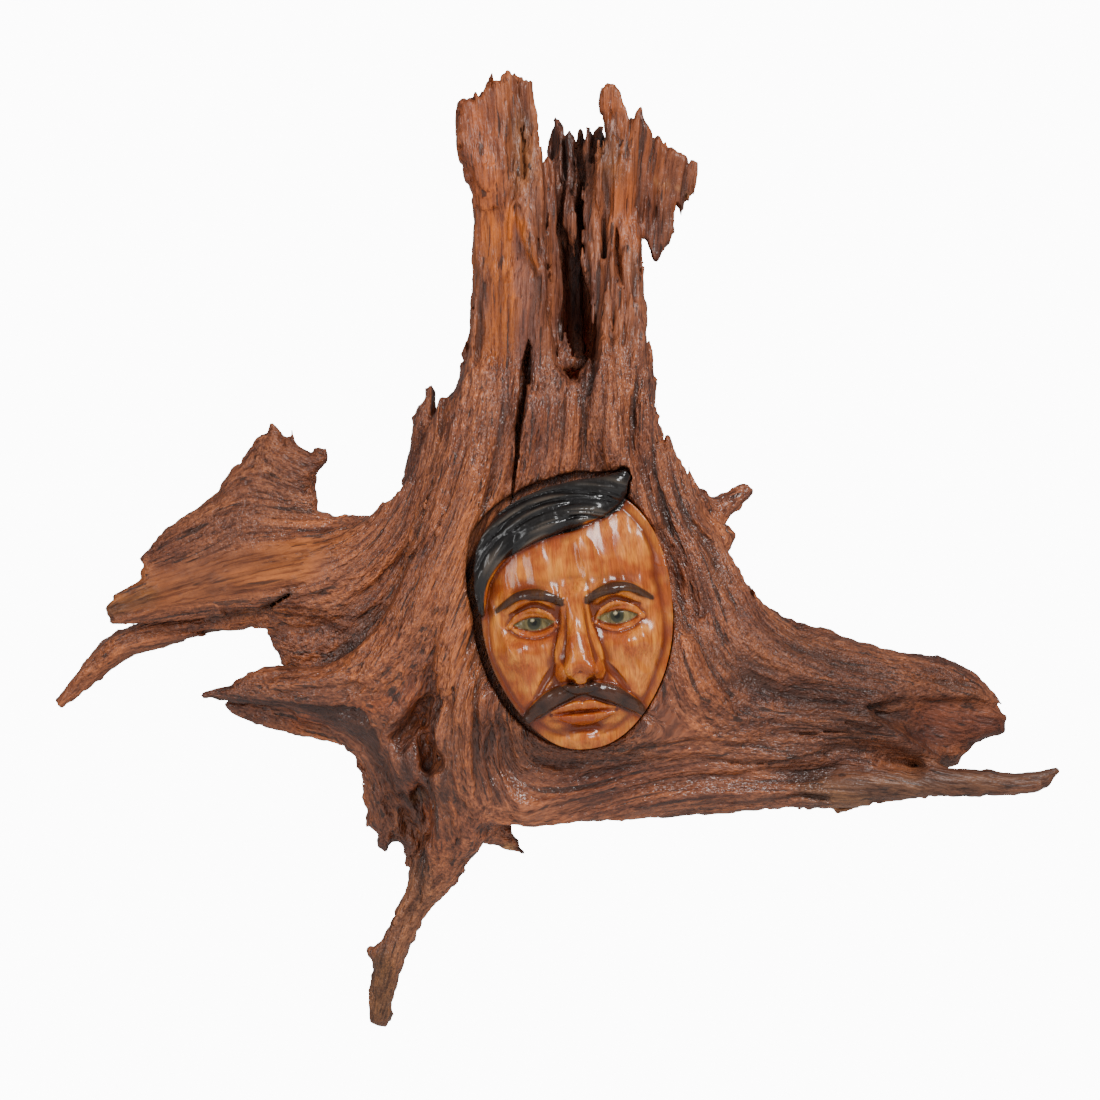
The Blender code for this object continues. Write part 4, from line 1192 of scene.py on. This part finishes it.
def tuft(u, v, path, flow, lock, reach):
    """1 on the hair along a path and 0 off it, and the height of its locks and strands."""
    across, along = flow
    across = across + 0.2 * along
    away, (_, width) = along_path(u, v, curved(path))
    wavy = 1.2 * lock * (noise([across, along], (lock, lock * 4), 53) - 0.5) * reach
    on = smooth(width + reach + wavy - away, 0, 1.0)
    locks = 1 - ridged([across, along], (lock, lock * 7), 51)
    strands = 1 - ridged([across, along], (lock * 0.4, lock * 4), 52)
    return on, (locks**0.7 + 0.5 * strands - 0.7) * on


def face_masks(u, v):
    """The painted areas of the face, each from 0 to 1, and the height of the hair's strands."""
    side = np.abs(u)
    hair, hair_strands = tuft(u, v, HAIR, swirl(u, v), 5.4, 1.0)
    brow, brow_strands = tuft(side, v, EYEBROW, arch(u, v), 1.9, 0.7)
    moustache, moustache_strands = tuft(side, v, MOUSTACHE, droop(u, v), 2.4, 0.7)
    across = (side - EYE_PLACE) / 12.8
    lid = np.clip(1 - across**2, 0, None)
    eye = smooth(np.minimum(3.2 * lid - v - 0.6, v + 1 + 4.6 * lid), 0, 0.8) * (side > 10)
    from_pupil = np.hypot(side - EYE_PLACE, v + 0.6)
    iris = smooth(4.6 - from_pupil, 0, 0.9) * eye
    pupil = smooth(2.3 - from_pupil, 0, 0.8) * eye
    glint = smooth(1.25 - np.hypot(u - np.sign(u) * EYE_PLACE + 0.9, v - 0.9), 0, 0.7) * eye
    lips = smooth(1.1 - np.hypot(u / 17.5, (v + 56) / 6.2), 0, 0.2) * (1 - moustache)
    painted = np.clip(hair + eye + moustache + 0.8 * brow + 0.7 * lips, 0, 1)
    return {
        "hair": hair, "brow": brow, "moustache": moustache, "eye": eye, "iris": iris,
        "pupil": pupil, "glint": glint, "lips": lips, "skin": 1 - painted,
        "strands": 3.2 * hair_strands + (0.7 * brow_strands + 1.0 * moustache_strands) * (1 - hair),
    }


# Room around the face's body on its grid, its thickness behind the crevice, and its front
FACE_ROOM_X = 12
FACE_ROOM_Z = 16
FACE_BACKING = 3
FACE_FRONT = 146


def face_surface():
    """The face's body, from its carved front back past the floor of its recess."""
    reach_x = FACE_WIDTH / 2 + FACE_ROOM_X
    reach_z = max(FACE_WIDTH, FACE_HEIGHT) / 2 + FACE_ROOM_Z
    xs = np.arange(FACE_CENTRE[0] - reach_x, FACE_CENTRE[0] + reach_x, FACE_STEP)
    zs = np.arange(FACE_CENTRE[1] - reach_z, FACE_CENTRE[1] + reach_z, FACE_STEP)
    floor = FACE_FLOOR - CREVICE_DEPTH - FACE_BACKING
    outs = np.arange(floor - FACE_BACKING, FACE_FRONT, FACE_STEP)
    edge, u, v = face_edge(xs[:, None], zs[None, :])
    masks = face_masks(u, v)
    front = FACE_FLOOR + carved_face(u, v) + masks["strands"]
    cuts = 2.0 * (ridged([u + 0.25 * v, v - 0.2 * u], (10, 30), 81) - 0.6)
    front += masks["skin"] * (cuts + 0.5 * (noise([u, v], (5, 14), 61, 2) - 0.5))
    gap = CREVICE_WIDTH / 2 * shade_side(u, v)
    field = np.maximum((edge + gap)[:, :, None], outs - front[:, :, None])
    field = np.maximum(field, floor - outs)
    return surface_net(field, (xs, zs, outs))


def make_face():
    """The carved face, with what its material reads at each vertex."""
    face = new_object("carved_face", *face_surface())
    mesh = face.data
    x, out, z = coordinates(mesh)
    edge, u, v = face_edge(x, z)
    here = carved_face(u, v)
    # Painted shade in the creases: how far the face lies below its surroundings at two reaches
    crease_shade = 0
    for reach, depth in ((2.5, 1.2), (7.0, 4.0)):
        turns = np.arange(8) * math.pi / 4
        around = sum(carved_face(u + reach * math.cos(t), v + reach * math.sin(t)) for t in turns) / 8
        crease_shade = crease_shade + np.clip((around - here) / depth, -0.7, 0.7)
    for name, values in face_masks(u, v).items():
        if name != "skin":
            store(mesh, name, values)
    store(mesh, "crease_shade", crease_shade)
    # Painted shade down the face's walls into its crevice and along its outer edge, with the dark paint
    # along its left, darkest at the left
    sunk = smooth(FACE_FLOOR + here - out, 1.5, 5)
    store(mesh, "side", np.maximum(sunk, smooth(edge, -5.0, -1.5)) * shade_side(u, v))
    store(mesh, "place", np.column_stack([u, v, out]))
    return thinned(face, FACE_TRIANGLES)


class Shader:
    """A small helper that adds nodes to one material."""

    def __init__(self, name):
        self.material = bpy.data.materials.new(name)
        self.material.use_nodes = True
        self.nodes = self.material.node_tree.nodes
        self.links = self.material.node_tree.links
        self.surface = self.nodes["Principled BSDF"]

    def node(self, kind, settings, **inputs):
        """A new node. An input goes by its name, or by an i and its number."""
        made = self.nodes.new("ShaderNode" + kind)
        for name, value in settings.items():
            setattr(made, name, value)
        for name, value in inputs.items():
            self.put(made, name, value)
        return made

    def put(self, node, name, value):
        key = int(name[1:]) if name[0] == "i" and name[1:].isdigit() else name.replace("_", " ")
        socket = node.inputs[key]
        if isinstance(value, bpy.types.NodeSocket):
            self.links.new(value, socket)
        else:
            socket.default_value = value

    def attribute(self, name, output="Fac"):
        return self.node("Attribute", {"attribute_name": name}).outputs[output]

    def math(self, operation, a, b):
        return self.node("Math", {"operation": operation}, i0=a, i1=b).outputs[0]

    def plus(self, a, b):
        return self.math("ADD", a, b)

    def times(self, a, b):
        return self.math("MULTIPLY", a, b)

    def scaled(self, vector, scale):
        return self.node("VectorMath", {"operation": "MULTIPLY"}, i0=vector, i1=scale).outputs[0]

    def noise(self, vector, detail, roughness, distortion=0.0):
        made = self.node("TexNoise", {}, Vector=vector, Scale=1.0, Detail=detail,
                         Roughness=roughness, Distortion=distortion)
        return made.outputs["Fac"]

    def ramp(self, value, *stops):
        made = self.node("ValToRGB", {}, Fac=value)
        steps = made.color_ramp.elements
        while len(steps) < len(stops):
            steps.new(0.5)
        for step, (place, shade) in zip(steps, stops):
            step.position = place
            step.color = (*shade, 1) if isinstance(shade, tuple) else (shade, shade, shade, 1)
        return made.outputs["Color"]

    def mix(self, share, a, b, blend="MIX"):
        over = (*b, 1) if isinstance(b, tuple) else b
        settings = {"data_type": "RGBA", "blend_type": blend}
        return self.node("Mix", settings, i0=share, i6=a, i7=over).outputs[2]

    def bump(self, height, distance, strength=1.0, normal=None):
        made = self.node("Bump", {}, Height=height, Distance=distance, Strength=strength)
        if normal is not None:
            self.put(made, "Normal", normal)
        return made.outputs["Normal"]

    def finished(self, **inputs):
        """The material, with these inputs of its surface."""
        for name, value in inputs.items():
            self.put(self.surface, name, value)
        return self.material


def wood_material():
    """Streaked and cracked wood under a worn varnish, with painted shade in its grooves, hollows and
    crevice and painted light on its crests and deep in its channel.
    """
    s = Shader("varnished_weathered_wood")
    grain = s.attribute("grain", "Vector")
    bark = s.attribute("bark")
    gloss = s.attribute("gloss")
    groove_shade_crest_light = s.attribute("groove_shade_crest_light")
    streak = s.noise(s.scaled(grain, (0.24, 0.010, 0.24)), 3.0, 0.6, 0.3)
    fibre = s.noise(s.scaled(grain, (0.62, 0.022, 0.62)), 2.0, 0.6, 0.2)
    grit = s.noise(s.scaled(grain, (0.50, 0.22, 0.50)), 2.0, 0.65)
    fine_grit = s.noise(s.scaled(grain, (0.85, 0.5, 0.85)), 1.0, 0.6)
    blotch = s.noise(s.scaled(grain, (0.05, 0.018, 0.05)), 3.0, 0.6)
    split = s.noise(s.scaled(grain, (0.36, 0.012, 0.36)), 2.0, 0.5, 0.4)
    shade = s.attribute("tint", "Color")
    for value, stops in (
        (streak, ((0.32, (0.56, 0.49, 0.47)), (0.47, 0.97), (0.7, (1.34, 1.28, 1.12)))),
        (fibre, ((0.36, (0.54, 0.48, 0.46)), (0.46, 0.95), (0.70, (1.24, 1.20, 1.11)))),
        (blotch, ((0.35, (0.66, 0.60, 0.62)), (0.65, (1.28, 1.22, 1.08)))),
    ):
        shade = s.mix(1.0, shade, s.ramp(value, *stops), "MULTIPLY")
    for value, stops in (
        (grit, ((0.34, (0.74, 0.69, 0.67)), (0.5, 1.0), (0.66, (1.22, 1.19, 1.14)))),
        (fine_grit, ((0.36, (0.70, 0.65, 0.63)), (0.5, 1.0), (0.64, (1.24, 1.22, 1.16)))),
    ):
        shade = s.mix(bark, shade, s.mix(1.0, shade, s.ramp(value, *stops), "MULTIPLY"))
    shade = s.mix(s.ramp(split, (0.61, 0.0), (0.67, 0.8)), shade, (0.024, 0.010, 0.007))
    # painted light on the crests and painted shade in the grooves
    painted_crest_light = s.ramp(s.times(groove_shade_crest_light, -1.0), (0.1, 1.0), (0.7, (1.3, 1.26, 1.12)))
    shade = s.mix(1.0, shade, painted_crest_light, "MULTIPLY")
    shade = s.mix(s.ramp(groove_shade_crest_light, (0.18, 0.0), (0.95, 0.8)), shade, (0.032, 0.013, 0.009))
    # painted shade in the hollows and pits, and in the crevice beside the face
    shade = s.mix(s.times(s.attribute("hollow"), 0.7), shade, (0.026, 0.011, 0.007))
    knobbly = s.times(s.plus(grit, s.times(fine_grit, 0.6)), bark)
    height = s.plus(s.times(fibre, 0.7), knobbly)
    return s.finished(
        Base_Color=shade,
        Roughness=s.ramp(fibre, (0.3, 0.60), (0.7, 0.42)),
        Specular_IOR_Level=0.25,
        Coat_Weight=s.times(gloss, 0.55),
        Coat_Roughness=s.ramp(gloss, (0.3, 0.32), (0.9, 0.19)),
        Normal=s.bump(height, 0.0019),
        Coat_Normal=s.bump(height, 0.0012),
    )


def face_material():
    """Wood painted as skin, eyes and hair under a varnish, with painted shade in its creases and crevice
    and painted sheen on the locks of the hair.
    """
    s = Shader("painted_varnished_face")
    place = s.attribute("place", "Vector")
    streak = s.noise(s.scaled(place, (0.26, 0.030, 0.22)), 3.0, 0.6, 0.8)
    fine = s.noise(s.scaled(place, (1.1, 0.09, 1.0)), 2.0, 0.6, 0.3)
    cloud = s.noise(s.scaled(place, (0.055, 0.06, 0.05)), 2.0, 0.5)
    cut = s.noise(s.scaled(place, (0.12, 0.04, 0.12)), 1.0, 0.5, 0.3)
    skin = s.ramp(streak, (0.3, (0.40, 0.088, 0.010)), (0.5, (0.62, 0.180, 0.020)),
                  (0.7, (0.80, 0.29, 0.038)))
    skin = s.mix(s.ramp(cloud, (0.42, 0.0), (0.60, 0.8)), skin, (0.34, 0.055, 0.007))
    skin = s.mix(1.0, skin, s.ramp(fine, (0.3, 0.72), (0.7, 1.2)), "MULTIPLY")
    # painted shade in the creases, mixed with streaks of stain
    crease_shade = s.plus(s.attribute("crease_shade"), s.times(s.math("SUBTRACT", streak, 0.5), 0.9))
    skin = s.mix(s.ramp(crease_shade, (0.0, 0.0), (0.4, 0.65), (0.9, 0.92)), skin, (0.13, 0.018, 0.004))
    # The hair's and moustache's colours are lighter on the crests of their locks and darker in their
    # grooves: painted sheen and painted shade
    strands = s.plus(s.times(s.attribute("strands"), 0.3), 0.5)
    black_with_painted_sheen = s.ramp(strands, (0.25, (0.003, 0.002, 0.002)), (0.6, (0.010, 0.008, 0.007)),
                   (0.95, (0.085, 0.064, 0.048)))
    brown_with_painted_sheen = s.ramp(strands, (0.35, (0.010, 0.004, 0.003)), (0.65, (0.060, 0.022, 0.012)))
    eyeball = s.ramp(streak, (0.35, (0.10, 0.075, 0.026)), (0.65, (0.24, 0.18, 0.07)))
    # the last layer, "side", is painted shade in the crevice, with the dark paint along its left
    for part, strength, colour in (
        ("lips", 0.5, (0.32, 0.045, 0.010)), ("eye", 1.0, eyeball), ("iris", 1.0, (0.030, 0.030, 0.015)),
        ("pupil", 1.0, (0.006, 0.006, 0.005)), ("glint", 1.0, (0.55, 0.47, 0.28)), ("brow", 0.9, black_with_painted_sheen),
        ("moustache", 0.96, brown_with_painted_sheen), ("hair", 1.0, black_with_painted_sheen), ("side", 0.92, (0.016, 0.006, 0.004)),
    ):
        skin = s.mix(s.times(s.attribute(part), strength), skin, colour)
    knife_cuts = s.bump(cut, 0.0017)
    return s.finished(
        Base_Color=skin,
        Roughness=s.ramp(streak, (0.3, 0.5), (0.7, 0.38)),
        Specular_IOR_Level=0.15,
        Coat_Weight=0.65,
        Coat_Roughness=0.17,
        Normal=s.bump(fine, 0.0005, 0.7, knife_cuts),
        Coat_Normal=knife_cuts,
    )


def make_camera():
    width_seen = 0.66
    distance = 2.6
    centre = Vector((-0.006, -0.06, 0.012))
    data = bpy.data.cameras.new("camera")
    data.sensor_width = 36.0
    data.lens = data.sensor_width * distance / width_seen
    camera = placed("camera", data)
    camera.location = centre + Vector((0, -distance, 0))
    camera.rotation_euler = (math.pi / 2, 0, 0)
    bpy.context.scene.camera = camera


def make_light(name, place, aim, width, height, power):
    """A rectangular lamp that shines from its place towards its aim."""
    data = bpy.data.lights.new(name, "AREA")
    data.shape = "RECTANGLE"
    data.size = width
    data.size_y = height
    data.energy = power
    light = placed(name, data)
    light.location = place
    light.rotation_euler = (Vector(aim) - Vector(place)).to_track_quat("-Z", "Y").to_euler()


def make_world():
    """A white studio, brighter to look at than it is as a lamp."""
    world = bpy.data.worlds.new("studio")
    world.use_nodes = True
    nodes, links = world.node_tree.nodes, world.node_tree.links
    lamp = nodes["Background"]
    seen = nodes.new("ShaderNodeBackground")
    for light, strength in ((lamp, 0.3), (seen, 12.0)):
        light.inputs["Color"].default_value = (1, 1, 1, 1)
        light.inputs["Strength"].default_value = strength
    path = nodes.new("ShaderNodeLightPath")
    either = nodes.new("ShaderNodeMixShader")
    links.new(path.outputs["Is Camera Ray"], either.inputs[0])
    links.new(lamp.outputs[0], either.inputs[1])
    links.new(seen.outputs[0], either.inputs[2])
    links.new(either.outputs[0], nodes["World Output"].inputs["Surface"])
    bpy.context.scene.world = world


def make_floor():
    mesh = bpy.data.meshes.new("floor")
    half, near, far, level = 1.6, -2.2, 0.24, -0.36
    corners = [(-half, near, level), (half, near, level), (half, far, level), (-half, far, level)]
    mesh.from_pydata(corners, [], [(0, 1, 2, 3)])
    floor = placed("floor", mesh)
    mesh.materials.append(Shader("pale_floor").finished(Base_Color=(0.8, 0.8, 0.8, 1), Roughness=0.7))


make_camera()
make_world()
make_floor()
make_light("key", (0.9, -1.5, 1.3), (0, 0, 0), width=0.7, height=0.7, power=46)
make_light("fill", (-1.3, -1.3, 0.3), (0, 0, 0), width=0.5, height=1.0, power=11)
for maker, material in ((make_stump, wood_material), (make_face, face_material)):
    piece = maker()
    piece.data.materials.append(material())
    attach(piece, "root")
    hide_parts("carved_stump")
